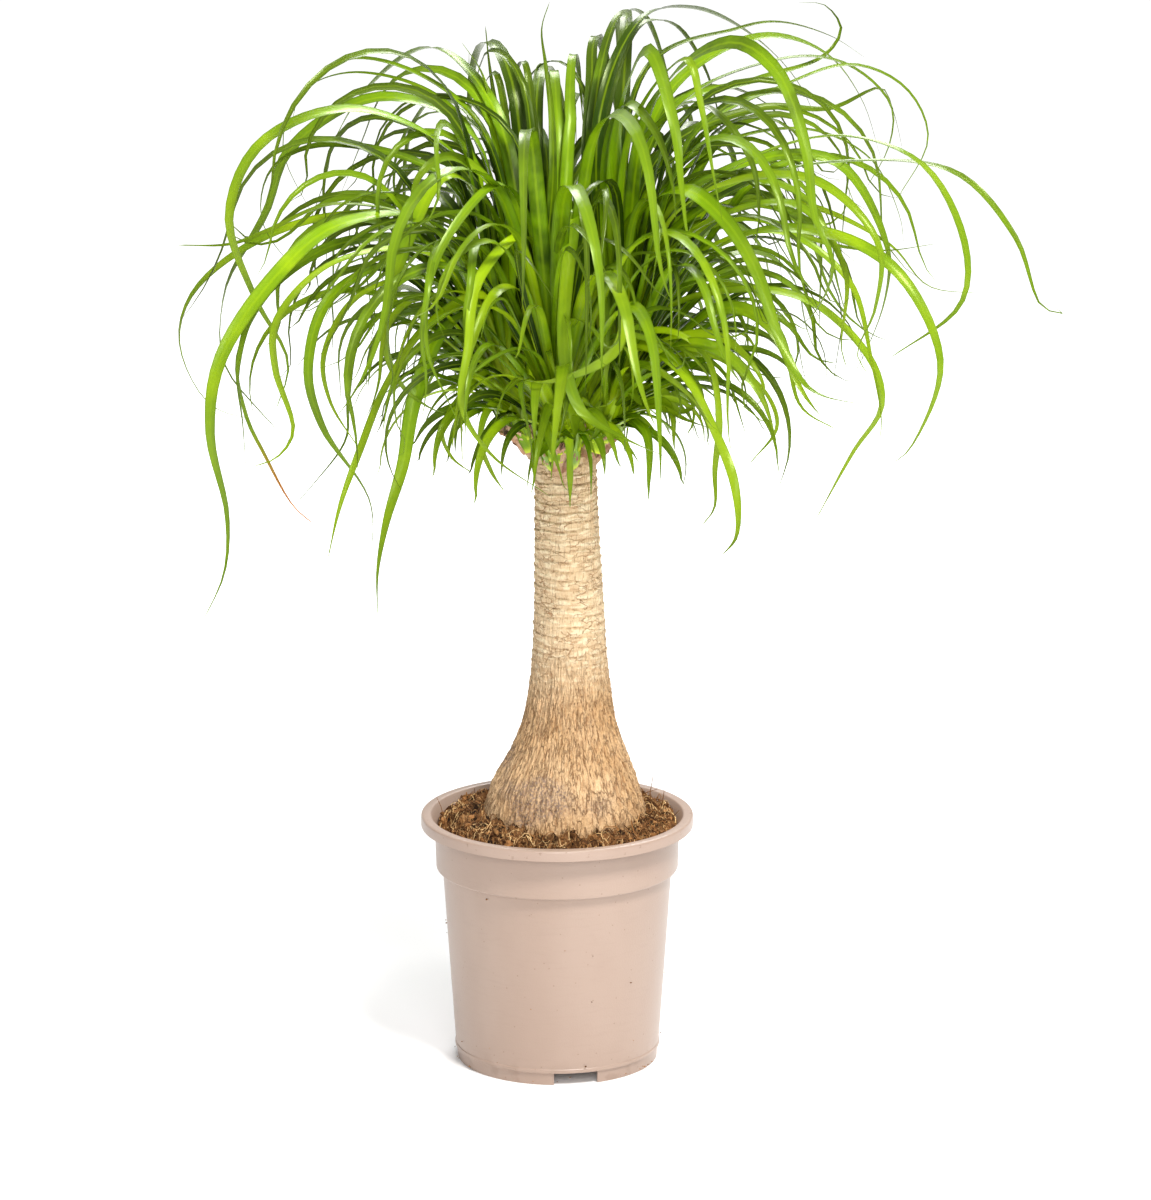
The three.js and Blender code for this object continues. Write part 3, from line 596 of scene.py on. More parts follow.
    def attribute(self, name: str) -> Socket:
        """Give the value of one of the mesh's own attributes."""
        return self.node("ShaderNodeAttribute", attribute_name=name).outputs["Fac"]

    def relief(self, height: Socket, depth_mm: float) -> None:
        """Raise the surface by a pattern.

        Args:
            height: The pattern.
            depth_mm: How deep the relief is, in millimetres.
        """
        bump = self.node("ShaderNodeBump")
        bump.inputs["Strength"].default_value = 1.0
        bump.inputs["Distance"].default_value = depth_mm * MM
        self.feed(bump.inputs["Height"], height)
        self.feed(self.shader.inputs["Normal"], bump.outputs[0])

    def finish(self, colour: object, roughness: float, specular: float = 0.5) -> None:
        """Set what the surface looks like.

        Args:
            colour: Its colour, plain or from a pattern.
            roughness: How rough it is, from 0 to 1.
            specular: How much it mirrors, 0.5 being plain plastic.
        """
        self.feed(self.shader.inputs["Base Color"], colour)
        self.feed(self.shader.inputs["Roughness"], roughness)
        self.feed(self.shader.inputs["Specular IOR Level"], specular)


@dataclass(frozen=True)
class PlasticFinish:
    """Satin moulded plastic of the pot, with dust, scuffs, a dirty foot and painted shade under the rim."""

    name: str = "pot_plastic_finish"
    clean: Colour = (0.365, 0.262, 0.208, 1)
    pale: Colour = (0.405, 0.302, 0.246, 1)
    # Dark brown of the dirt at the foot, the crumbs and the specks, and of the painted shade under the rim
    dirt_and_shade: Colour = (0.16, 0.09, 0.05, 1)
    scuff: Colour = (0.29, 0.205, 0.165, 1)
    roughness: float = 0.33
    grain_depth: float = 0.12
    splash_top: float = 24
    crumbs_foot: float = 180

    def material(self) -> bpy.types.Material:
        """Build the plastic's material.

        Returns:
            The material.
        """
        sketch = NodeSketch(self.name)
        cloud = sketch.noise(sketch.stretched((1, 1, 0.5)), 14, 3)
        streak = sketch.strands((50, 50, 420), 2)
        height = sketch.parts(sketch.place)["Z"]
        patch = sketch.noise(sketch.place, 60, 6)
        near_foot = sketch.span(height, 2 * MM, self.splash_top * MM, 1, 0)
        splash = sketch.times(near_foot, sketch.span(patch, 0.5, 0.62))
        near_rim = sketch.span(height, self.crumbs_foot * MM, POT.height * MM)
        grit = sketch.noise(sketch.place, 220, 3)
        crumbs = sketch.times(near_rim, sketch.span(grit, 0.66, 0.72))
        speck = sketch.cells(sketch.place, 130, "F1")
        colour = sketch.layered(
            self.clean,
            (sketch.span(cloud, 0.4, 0.66, 0, 0.5), self.pale),
            (sketch.span(streak, 0.5, 0.75, 0, 0.12), self.scuff),
            (sketch.times(splash, 0.22), self.dirt_and_shade),
            (sketch.times(crumbs, 0.5), self.dirt_and_shade),
            # Painted shade: a thin dark line under the rim's overhang
            (sketch.times(self._painted_shade_under_rim(sketch, height), 0.6), self.dirt_and_shade),
            (sketch.span(speck, 0.05, 0.09, 0.45, 0), self.dirt_and_shade),
        )
        sketch.finish(colour, self.roughness)
        grain = sketch.noise(sketch.place, 900, 2)
        sketch.relief(sketch.math("ADD", grain, sketch.times(cloud, 3)), self.grain_depth)
        return sketch.material

    def _painted_shade_under_rim(self, sketch: NodeSketch, height: Socket) -> Socket:
        """Give the thin line of painted shade under the rim, which fades downwards.

        Args:
            sketch: The material's tree.
            height: Height above the floor, in metres.

        Returns:
            1 in the line and 0 away from it.
        """
        rim_foot = POT.height - POT.rim_depth
        low, middle, top = ((rim_foot + away) * MM for away in (-2.8, 0.1, 0.5))
        return sketch.times(sketch.span(height, low, middle), sketch.span(height, middle, top, 1, 0))


@dataclass(frozen=True)
class MixFinish:
    """Brown potting mix with paler fibres, and painted shade in its pits."""

    name: str = "potting_mix_finish"
    # Darkest brown, of the mix between its crumbs and of the painted shade in its pits
    deep: Colour = (0.016, 0.006, 0.002, 1)
    brown: Colour = (0.19, 0.085, 0.030, 1)
    straw: Colour = (0.56, 0.34, 0.14, 1)
    roughness: float = 0.95
    specular: float = 0.2
    crumb_depth: float = 2

    def material(self) -> bpy.types.Material:
        """Build the potting mix's material.

        Returns:
            The material.
        """
        sketch = NodeSketch(self.name)
        coarse = sketch.noise(sketch.place, 130, 6)
        fine = sketch.noise(sketch.place, 700, 4)
        strands = sketch.strands((900, 140, 300), 3)
        colour = sketch.layered(
            self.deep,
            (sketch.span(coarse, 0.38, 0.6), self.brown),
            (sketch.span(strands, 0.56, 0.68, 0, 0.7), self.straw),
            # Painted shade: the darkest brown over the pits, by how far they sink
            (sketch.attribute("pit_shade"), self.deep),
        )
        sketch.finish(colour, self.roughness, self.specular)
        sketch.relief(sketch.math("ADD", coarse, sketch.times(fine, 0.5)), self.crumb_depth)
        return sketch.material


@dataclass(frozen=True)
class FibreFinish:
    """Coir fibres, roots and bark chips, each piece with its own tone."""

    name: str = "fibre_finish"
    dark: Colour = (0.070, 0.028, 0.009, 1)
    rust: Colour = (0.34, 0.155, 0.052, 1)
    pale: Colour = (0.82, 0.55, 0.26, 1)
    roughness: float = 0.8
    specular: float = 0.15

    def material(self) -> bpy.types.Material:
        """Build the fibres' material.

        Returns:
            The material.
        """
        sketch = NodeSketch(self.name)
        tone = sketch.attribute("tone")
        mottle = sketch.noise(sketch.place, 600, 4)
        colour = sketch.layered(
            self.dark,
            (sketch.span(tone, 0.15, 0.6), self.rust),
            (sketch.span(tone, 0.62, 0.98), self.pale),
            (sketch.span(mottle, 0.45, 0.7, 0, 0.5), self.dark),
        )
        sketch.finish(colour, self.roughness, self.specular)
        return sketch.material


@dataclass(frozen=True)
class BarkFinish:
    """Corky bark: tan with brown cracks, cream flakes on the stem and grey stains on the foot."""

    name: str = "bark_finish"
    tan: Colour = (0.56, 0.335, 0.155, 1)
    light: Colour = (0.70, 0.475, 0.27, 1)
    cream: Colour = (0.87, 0.71, 0.47, 1)
    crack: Colour = (0.25, 0.115, 0.042, 1)
    stain: Colour = (0.31, 0.215, 0.155, 1)
    rust: Colour = (0.42, 0.20, 0.08, 1)
    brown: Colour = (0.33, 0.185, 0.085, 1)
    roughness: float = 0.85
    specular: float = 0.25
    bark_depth: float = 1.3
    wrap_radius: float = 45
    crack_push: float = 1.1

    def material(self) -> bpy.types.Material:
        """Build the bark's material.

        Returns:
            The material.
        """
        sketch = NodeSketch(self.name)
        foot = sketch.attribute("foot")
        stem = sketch.math("SUBTRACT", 1, foot)
        broad = sketch.noise(sketch.stretched((1, 1, 0.6)), 26, 5)
        wrapped = sketch.wrapped(TRUNK.axis_x, self.wrap_radius)
        streaks = sketch.strands((500, 500, 85), 6, wrapped)
        ridges = sketch.strands((340, 340, 80), 6, wrapped)
        lines = sketch.crossings(ridges, 0.03)
        hairs = sketch.strands((720, 720, 190), 3, wrapped)
        threads = sketch.crossings(hairs, 0.045)
        bands = sketch.strands((60, 60, 380), 5)
        grit = sketch.noise(sketch.place, 520, 5)
        flecks = sketch.strands((620, 620, 190), 4, wrapped)
        stained = sketch.times(sketch.attribute("stain"), sketch.span(grit, 0.36, 0.58, 1, 0.25))
        net = self._level_cracks(sketch, stem)
        colour = sketch.layered(
            self.tan,
            (sketch.span(broad, 0.35, 0.65), self.light),
            (sketch.times(stem, 0.48), self.cream),
            (sketch.share(foot, streaks, 0.5, 0.34, 0.46), self.brown),
            (sketch.share(foot, streaks, 0.54, 0.68, 0.65), self.light),
            (sketch.share(foot, lines, 0, 1, 0.6), self.crack),
            (sketch.share(foot, threads, 0, 1, 0.42), self.brown),
            (sketch.share(stem, bands, 0.54, 0.72, 0.4), self.rust),
            (sketch.span(grit, 0.52, 0.74, 0, 0.6), self.light),
            (sketch.attribute("flake"), self.cream),
            (stained, self.stain),
            (sketch.span(flecks, 0.6, 0.68, 0, 0.55), self.crack),
            (net, self.rust),
            (sketch.times(sketch.attribute("crack"), 0.7), self.crack),
        )
        sketch.finish(colour, self.roughness, self.specular)
        upright = sketch.math("SUBTRACT", sketch.times(streaks, 2.2), sketch.times(lines, foot))
        raised = sketch.math("ADD", grit, upright)
        sketch.relief(sketch.math("SUBTRACT", raised, sketch.math("ADD", net, flecks)), self.bark_depth)
        return sketch.material

    def _bent(self, sketch: NodeSketch) -> Socket:
        """Give the coordinates of the level cracks, flattened and pushed about.

        Args:
            sketch: The material's tree.

        Returns:
            The coordinates, in which no crack runs straight.
        """
        push = sketch.node("ShaderNodeTexNoise", sketch.place)
        push.inputs["Scale"].default_value = 120
        flattened = sketch.stretched((80, 80, 210))
        return sketch.vector("MULTIPLY_ADD", push.outputs["Color"], (self.crack_push,) * 3, flattened)

    def _level_cracks(self, sketch: NodeSketch, stem: Socket) -> Socket:
        """Give the fine net of level cracks on the stem.

        Args:
            sketch: The material's tree.
            stem: Share of the stem's bark at a place.

        Returns:
            1 in a crack and 0 between the cracks.
        """
        plates = sketch.cells(self._bent(sketch), 1)
        wander = sketch.noise(sketch.place, 75, 3)
        thin = sketch.span(plates, 0.01, 0.045, 0.8, 0)
        broken = sketch.times(thin, sketch.span(wander, 0.42, 0.6, 0.1, 1))
        return sketch.times(broken, stem)


@dataclass(frozen=True)
class HuskFinish:
    """Papery dry leaf sheaths under the heads."""

    name: str = "husk_finish"
    pink: Colour = (0.46, 0.235, 0.125, 1)
    brown: Colour = (0.17, 0.065, 0.025, 1)
    pale: Colour = (0.66, 0.46, 0.28, 1)
    roughness: float = 0.7
    crumple_depth: float = 0.9

    def material(self) -> bpy.types.Material:
        """Build the sheaths' material.

        Returns:
            The material.
        """
        sketch = NodeSketch(self.name)
        fibres = sketch.strands((900, 900, 90), 4)
        patch = sketch.noise(sketch.place, 130, 5)
        colour = sketch.layered(
            self.pink,
            (sketch.span(patch, 0.38, 0.62), self.pale),
            (sketch.span(fibres, 0.5, 0.75, 0, 0.8), self.brown),
            (sketch.times(sketch.attribute("tone"), 0.85), self.brown),
        )
        sketch.finish(colour, self.roughness)
        sketch.relief(sketch.math("ADD", fibres, sketch.times(patch, 3)), self.crumple_depth)
        return sketch.material


@dataclass(frozen=True)
class LeafFinish:
    """Waxy strap leaf: pale at its root, veined along its length, with a dry tip on some leaves, and painted
    shade on its blade's lower and outer parts.
    """

    name: str = "leaf_finish"
    # Darkest green, of dark leaves, veins and edges, and of the painted shade on the blade's lower part
    dark: Colour = (0.016, 0.043, 0.0004, 1)
    green: Colour = (0.200, 0.370, 0.0016, 1)
    bright: Colour = (0.420, 0.620, 0.006, 1)
    # Duller green of the painted shade on the outer part of the blade
    outer_shade: Colour = (0.115, 0.184, 0.010, 1)
    root: Colour = (0.560, 0.640, 0.040, 1)
    dry: Colour = (0.46, 0.17, 0.04, 1)
    sheen: Colour = (0.86, 1.0, 0.50, 1)
    roughness: float = 0.23
    specular: float = 0.36
    vein_turn: float = 75
    vein_depth: float = 0.12

    def material(self) -> bpy.types.Material:
        """Build the leaves' material.

        Returns:
            The material.
        """
        sketch = NodeSketch(self.name)
        blade = sketch.parts(sketch.node("ShaderNodeUVMap", uv_map=BLADE_MAP).outputs[0])
        across = sketch.times(sketch.math("PINGPONG", blade["X"], 0.5), 2)
        along = blade["Y"]
        tone = sketch.attribute("tone")
        mottle = sketch.noise(sketch.place, 28, 3)
        shade = sketch.math("ADD", tone, sketch.span(mottle, 0.3, 0.7, -0.18, 0.18))
        stripes = self._veins(sketch, across, tone)
        off_middle = sketch.math("ABSOLUTE", sketch.math("SUBTRACT", across, 0.5))
        colour = sketch.layered(
            self.dark,
            (sketch.span(shade, 0.05, 0.5), self.green),
            (sketch.span(shade, 0.5, 1.0), self.bright),
            (sketch.span(stripes, 0, 1, 0, 0.22), self.dark),
            (sketch.span(off_middle, 0.02, 0.13, 0.3, 0), self.bright),
            (sketch.span(off_middle, 0.34, 0.5, 0, 0.5), self.dark),
            # Painted shade: a duller, darker green over the blade's outer part
            (sketch.span(along, 0.3, 0.75, 0, 0.66), self.outer_shade),
            # Painted shade: darker over the blade's lower part, deep in the crown
            (sketch.span(along, 0.16, 0.45, 0.34, 0), self.dark),
            (sketch.span(along, 0.04, 0.2, 0.5, 0), self.bright),
            (sketch.span(along, 0.0, 0.14, 0.8, 0), self.root),
            (sketch.share(sketch.attribute("dry"), along, 0.8, 0.93, 1), self.dry),
        )
        sketch.finish(colour, self.roughness, self.specular)
        sketch.feed(sketch.shader.inputs["Specular Tint"], self.sheen)
        sketch.relief(stripes, self.vein_depth)
        return sketch.material

    def _veins(self, sketch: NodeSketch, across: Socket, tone: Socket) -> Socket:
        """Give the fine parallel veins.

        Args:
            sketch: The material's tree.
            across: Place across the blade, from 0 to 1.
            tone: The leaf's own tone, which shifts its veins.

        Returns:
            1 on a vein and 0 between the veins.
        """
        wave = sketch.math("SINE", sketch.math("ADD", sketch.times(across, self.vein_turn), tone))
        return sketch.span(wave, 0.2, 1.0)


@dataclass
class PieceMaker:
    """Mesh under construction, which becomes one named piece of the plant."""

    name: str
    bm: bmesh.types.BMesh = field(default_factory=bmesh.new)
    seam_weld: float = 0.002
    last_weld: float = 0.0005

    def carry(self, *keys: str) -> None:
        """Let every vertex carry some values, and every face its place on a blade.

        Args:
            *keys: Names of the values.
        """
        for key in keys:
            self.bm.verts.layers.float.new(key)
        self.bm.loops.layers.uv.new(BLADE_MAP)

    def turned(self, profile: Sequence[tuple[float, float]], steps: int) -> list[bmesh.types.BMVert]:
        """Turn a profile about the upright axis.

        Args:
            profile: Radius and height of each point, in millimetres.
            steps: How many steps the full turn has.

        Returns:
            The vertices of the turned surface.
        """
        old = set(self.bm.verts)
        verts = [self.bm.verts.new((radius * MM, 0, height * MM)) for radius, height in profile]
        edges = [self.bm.edges.new(pair) for pair in zip(verts, verts[1:])]
        bmesh.ops.spin(
            self.bm, geom=verts + edges, cent=(0, 0, 0), axis=(0, 0, 1), dvec=(0, 0, 0),
            angle=math.tau, steps=steps, use_merge=True, use_normal_flip=False, use_duplicate=False,
        )
        made = [vert for vert in self.bm.verts if vert not in old]
        bmesh.ops.remove_doubles(self.bm, verts=made, dist=self.seam_weld * MM)
        return [vert for vert in self.bm.verts if vert not in old]

    def sleeve(self, rings: np.ndarray, **tones: float) -> None:
        """Skin closed rings of points into a closed tube, by wrapping a grid round them.

        Args:
            rings: Points in millimetres, indexed by station, place round the ring and axis.
            **tones: Values of the tube's own attributes.
        """
        stations, around = rings.shape[:2]
        layers = [(self.bm.verts.layers.float[key], value) for key, value in tones.items()]
        grid = bmesh.ops.create_grid(
            self.bm, x_segments=around, y_segments=stations - 1, size=1, calc_uvs=True
        )["verts"]
        for vert in grid:
            column = round((vert.co.x + 1) / 2 * around) % around
            row = round((vert.co.y + 1) / 2 * (stations - 1))
            vert.co = Vector(rings[row, column]) * MM
            for layer, value in layers:
                vert[layer] = value

    def piece(
        self, material: bpy.types.Material, slot: Slot, *nodes: str, crease: float = 40
    ) -> bpy.types.Object:
        """Close the mesh, make it an object and tie it to the frame.

        Args:
            material: The finish.
            slot: The record's slot that the finish belongs to; not used.
            *nodes: Nodes of the frame that this piece stands for.
            crease: Angle in degrees past which an edge stays sharp.

        Returns:
            The finished piece.
        """
        bmesh.ops.remove_doubles(self.bm, verts=self.bm.verts[:], dist=self.last_weld * MM)
        rims = [edge for edge in self.bm.edges if edge.is_boundary]
        if rims:
            bmesh.ops.holes_fill(self.bm, edges=rims, sides=0)
        bmesh.ops.recalc_face_normals(self.bm, faces=self.bm.faces[:])
        for face in self.bm.faces:
            face.smooth = True
        mesh = bpy.data.meshes.new(self.name)
        self.bm.to_mesh(mesh)
        self.bm.free()
        mesh.set_sharp_from_angle(angle=math.radians(crease))
        mesh.materials.append(material)
        made = placed(self.name, mesh)
        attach(made, BODY)
        if nodes:
            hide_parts(*nodes)
        LOG.info("%s: %d faces", self.name, len(mesh.polygons))
        return made


def tube_rings(line: np.ndarray, radii: Sequence[float], sides: int) -> np.ndarray:
    """Give round rings along a line.

    Args:
        line: Points of the line, in millimetres.
        radii: Radius at each point.
        sides: How many points each ring has.

    Returns:
        Points indexed by station, place round the ring and axis.
    """
    tangents = np.gradient(line, axis=0)
    tangents /= np.linalg.norm(tangents, axis=1, keepdims=True) + 1e-9
    helper = np.array((0.31, 0.22, 0.92))
    side = np.cross(tangents, helper)
    side /= np.linalg.norm(side, axis=1, keepdims=True)
    other = np.cross(tangents, side)
    turns = np.linspace(0, math.tau, sides, endpoint=False)
    spread = side[:, None] * np.cos(turns)[None, :, None] + other[:, None] * np.sin(turns)[None, :, None]
    return line[:, None] + spread * np.asarray(radii)[:, None, None]


@dataclass
class NurseryPot:
    """The plastic pot: rim, collar, step, tapered body, bead and notched foot ring."""

    sizes: PotSizes = POT
    steps: int = 192
    corner_points: int = 4
    longest_reach: float = 0.45
    least_reach: float = 0.05
    hole_sides: int = 32

    def build(self) -> bpy.types.Object:
        """Turn the pot, cut its notches and drain holes, and finish it.

        Returns:
            The finished pot.
        """
        shell = PieceMaker("pot_shell")
        shell.turned(self._profile(), self.steps)
        bmesh.ops.recalc_face_normals(shell.bm, faces=shell.bm.faces[:])
        cutter = PieceMaker("pot_cutter")
        self._notches(cutter.bm)
        self._drain_holes(cutter.bm)
        cut = self._cut(shell.bm, cutter.bm)
        maker = PieceMaker("nursery_pot", cut)
        return maker.piece(PlasticFinish().material(), Slot.POT, "pot", crease=28)

    def _profile(self) -> list[tuple[float, float]]:
        """Give the pot's closed profile, with its corners rounded.

        Returns:
            Radius and height of each point.
        """
        size = self.sizes
        bead_foot = size.floor_underside + 0.3
        bead_top = bead_foot + size.bead_height
        skirt_foot = size.height - size.rim_depth
        plate_foot = size.height - size.rim_plate
        ring_inside = size.foot_ring_radius - size.foot_ring_width
        skirt_inside = size.rim_radius - size.wall
        # Radius and height of each corner, and how far its rounding reaches
        outside = [
            (0, 0, 0), (size.pad_radius, 0, 0.6), (size.pad_radius, size.floor_underside, 0.6),
            (ring_inside, size.floor_underside, 0.6), (ring_inside, 0, 0.5), (size.foot_ring_radius, 0, 0.5),
            (size.foot_ring_radius + 0.5, size.floor_underside, 0.2),
            (size.bead_radius, bead_foot, 0.4), (size.bead_radius, bead_top - 0.5, 0.5),
            (size.body_foot_radius, bead_top, 0.3),
            (size.body_top_radius, size.step_height - 0.5, 1.6),
            (size.collar_foot_radius - 0.5, size.step_height, 0.3),
            (size.collar_foot_radius, size.step_height + size.step_rise, 1.2),
            (size.collar_radius, skirt_foot, 0), (size.lip_radius + 1, plate_foot, 0.3),
            (skirt_inside, plate_foot, 0.6), (skirt_inside, skirt_foot, 0.3),
            (size.rim_radius, skirt_foot, 0.6), (size.rim_radius, size.height, 2.0),
            (size.lip_radius, size.height, 1.2),
        ]
        inside = [(radius, height, 0.5) for height, radius in reversed(size.inside()[:-1])]
        return self._rounded([*outside, *inside, (0, size.floor_top, 0)])

    def _rounded(self, corners: Sequence[tuple[float, float, float]]) -> list[tuple[float, float]]:
        """Round the corners of a profile.

        Args:
            corners: Radius, height and how far each corner's rounding reaches.

        Returns:
            Points of the rounded profile, as radius and height.
        """
        points = [corners[0][:2]]
        for before, (radius, height, reach), after in zip(corners, corners[1:], corners[2:]):
            corner = Vector((radius, height))
            back = Vector(before[:2]) - corner
            ahead = Vector(after[:2]) - corner
            cut = min(reach, back.length * self.longest_reach, ahead.length * self.longest_reach)
            if cut < self.least_reach:
                points.append((radius, height))
                continue
            start = corner + back.normalized() * cut
            end = corner + ahead.normalized() * cut
            for step in range(self.corner_points + 1):
                share = step / self.corner_points
                place = start.lerp(corner, share).lerp(corner.lerp(end, share), share)
                points.append((place.x, place.y))
        return [*points, corners[-1][:2]]

    def _turns(self, count: int) -> Iterator[Matrix]:
        """Give the turns that set out cuts evenly, from the first notch's bearing on.

        Args:
            count: How many cuts there are.

        Returns:
            The turns, one after the other.
        """
        for number in range(count):
            yield Matrix.Rotation(math.radians(self.sizes.notch_bearing) + math.tau * number / count, 4, "Z")

    def _notches(self, bm: bmesh.types.BMesh) -> None:
        """Add the blocks that cut the drainage notches in the foot ring.

        Args:
            bm: Mesh that they are added to.
        """
        size = self.sizes
        sides = Vector((5 * size.foot_ring_width, size.notch_width, 2 * size.floor_underside)) * MM
        block = Matrix.Diagonal((*sides, 1))
        out = Matrix.Translation(((size.foot_ring_radius - size.foot_ring_width) * MM, 0, 0))
        for turn in self._turns(size.notch_count):
            bmesh.ops.create_cube(bm, size=1, matrix=turn @ out @ block)

    def _drain_holes(self, bm: bmesh.types.BMesh) -> None:
        """Add the rods that cut the drain holes in the floor.

        Args:
            bm: Mesh that they are added to.
        """
        size = self.sizes
        radius, depth = size.drain_hole_radius * MM, size.floor_underside * MM
        out = Matrix.Translation((size.drain_hole_circle * MM, 0, depth))
        for turn in self._turns(size.drain_hole_count):
            bmesh.ops.create_cone(
                bm, cap_ends=True, segments=self.hole_sides, radius1=radius, radius2=radius,
                depth=depth, matrix=turn @ out,
            )

    def _cut(self, shell: bmesh.types.BMesh, cutter: bmesh.types.BMesh) -> bmesh.types.BMesh:
        """Cut one mesh out of another.

        Args:
            shell: The mesh that is cut.
            cutter: The mesh that cuts it.

        Returns:
            The cut mesh.
        """
        objects = []
        for bm, name in ((shell, "pot_shell"), (cutter, "pot_cutter")):
            mesh = bpy.data.meshes.new(name)
            bm.to_mesh(mesh)
            bm.free()
            objects.append(placed(name, mesh))
        body, tool = objects
        cut = body.modifiers.new("notches", "BOOLEAN")
        cut.operation = "DIFFERENCE"
        cut.solver = "EXACT"
        cut.object = tool
        result = bmesh.new()
        result.from_object(body, bpy.context.evaluated_depsgraph_get())
        for made in objects:
            bpy.data.objects.remove(made)
        return result


@dataclass
class PottingMix:
    """The potting mix, with crumbs, curly fibres, chips and a few thin twigs.

    The surface's points stand at the height unlaid until they are laid on the heap.
    """

    steps: int = 400
    rings: int = 58
    clearance: float = 0.35
    settled: float = 4
    crumb_height: float = 4.2
    clump_height: float = 6.2
    smooth_edge: tuple[float, float] = (88, 92)
    # Depths below the mix's level over which the painted shade in the pits grows to full
    pit_shade_depths: tuple[float, float] = (1.5, 7)
    hollow: Table = ((20, 60), (60, 60), (66, 90), (66, 150), (58, 180))
    unlaid: float = 1000
    open_ring: tuple[float, float] = (62, 29)
    fibre_count: int = 1500
    fibre_points: int = 8
    chip_count: int = 900
    spilt_crumbs: int = 55
    seed: int = 5
    twigs: tuple[tuple[Triple, ...], ...] = (
        ((-84, -32, 186), (-86, -30, 197), (-89, -30, 209), (-92, -31, 216)),
        ((72, 24, 188), (72, 24, 204), (74, 24, 216), (74.5, 23, 228)),
        ((80, 22, 188), (82, 22, 200), (83, 20, 208)),
        ((86, -8, 186), (90, -12, 196), (94, -14, 201)),
        ((60, 38, 190), (68, 40, 199), (78, 38, 203)),
    )

    def build(self) -> list[bpy.types.Object]:
        """Build the mix and what lies loose on it.

        Returns:
            The finished pieces.
        """
        return [self._bed(), self._litter()]

    def _surface(self, radius: float, turn: float) -> float:
        """Give the crumbly surface's height at a place, in millimetres.

        Args:
            radius: Distance from the pot's axis.
            turn: Direction from the axis, in radians.

        Returns:
            The height above the floor.
        """
        place = polar(radius, turn)
        crumbs = noise.fractal(place * 0.2, 0.7, 2.1, 5)
        clumps = ridged(place * 0.07 + Vector((3, 7, 1)))
        edge = smooth_step(radius, *self.smooth_edge)
        lumps = (self.crumb_height * crumbs + self.clump_height * clumps) * (1 - 0.7 * edge)
        return MIX.level(radius, turn) - self.settled + lumps

    def _bed(self) -> bpy.types.Object:
        """Build the body of the mix, down to the pot's floor and round the trunk's foot.

        Returns:
            The finished piece.
        """
        maker = PieceMaker("potting_mix")
        inner = self.hollow[-1][0]
        edge = POT.collar_radius - POT.wall - self.clearance
        top = [(inner + (edge - inner) * step / self.rings, self.unlaid) for step in range(self.rings + 1)]
        wall = [(radius - self.clearance, height) for height, radius in reversed(POT.inside()[1:-2])]
        floor = (POT.inside()[0][1] - self.clearance, POT.floor_top + self.clearance)
        hollow_foot = (self.hollow[0][0], floor[1])
        pit_shade = maker.bm.verts.layers.float.new("pit_shade")
        for vert in maker.turned([*top, *wall, floor, hollow_foot, *self.hollow, top[0]], self.steps):
            if vert.co.z < self.unlaid * MM * 0.5:
                continue
            radius = math.hypot(vert.co.x, vert.co.y) / MM
            turn = math.atan2(vert.co.y, vert.co.x)
            surface = self._surface(radius, turn)
            vert.co.z = surface * MM
            # Painted shade: darker where the surface sinks below the mix's level
            vert[pit_shade] = smooth_step(MIX.level(radius, turn) - surface, *self.pit_shade_depths)
        return maker.piece(MixFinish().material(), Slot.MIX, "soil", crease=180)

    def _litter(self) -> bpy.types.Object:
        """Build the fibres, chips and twigs on the surface.

        Returns:
            The finished piece.
        """
        maker = PieceMaker("fibres_and_chips")
        maker.carry("tone")
        draw = seeded_draws(self.seed)
        for _ in range(self.fibre_count):
            line = self._fibre_line(draw)
            thick = 0.2 + 0.45 * draw() ** 2
            radii = [thick * (1 - 0.7 * share) for share in np.linspace(0, 1, len(line))]
            maker.sleeve(tube_rings(line, radii, 3), tone=draw() ** 1.4)
        for route in self.twigs:
            radii = np.linspace(0.5, 0.16, len(route))
            maker.sleeve(tube_rings(np.array(route, float), radii, 5), tone=0.35)
        for _ in range(self.chip_count):
            radius, turn = self._spot(draw)
            self._chip(maker.bm, draw, radius, turn, self._surface(radius, turn), 0.7 + 2.4 * draw() ** 3)
        for _ in range(self.spilt_crumbs):
            height = 3 + 150 * draw() ** 4
            widening = (POT.body_top_radius - POT.body_foot_radius) / POT.step_height
            wall = POT.body_foot_radius + widening * height
            self._chip(maker.bm, draw, wall + 0.5, math.tau * draw(), height, 0.35 + 0.5 * draw() ** 2)
        return maker.piece(FibreFinish().material(), Slot.MIX, crease=50)

    def _spot(self, draw: Draw) -> tuple[float, float]:
        """Draw a place on the open surface, as radius and direction."""
        inner, width = self.open_ring
        return inner + width * math.sqrt(draw()), math.tau * draw()

    def _fibre_line(self, draw: Draw) -> np.ndarray:
        """Draw the curly line of one fibre along the surface.

        Args:
            draw: Stream of draws.

        Returns:
            Points of the line, in millimetres.
        """
        radius, turn = self._spot(draw)
        heading = math.tau * draw()
        curl = (draw() - 0.5) * 1.3
        step = 1.3 + 3.4 * draw() ** 2
        lift = 0.8 + 4.6 * draw() ** 3
        x, y = radius * math.cos(turn), radius * math.sin(turn)
        points = []
        for number in range(self.fibre_points):
            reach = min(math.hypot(x, y), POT.collar_radius - POT.wall - 1.2)
            direction = math.atan2(y, x)
            x, y = reach * math.cos(direction), reach * math.sin(direction)
            arch = math.sin(math.pi * number / (self.fibre_points - 1)) * lift
            points.append((x, y, self._surface(reach, direction) + 0.1 + arch))
            heading += curl + 0.35 * (draw() - 0.5)
            x += step * math.cos(heading)
            y += step * math.sin(heading)
        return np.array(points)

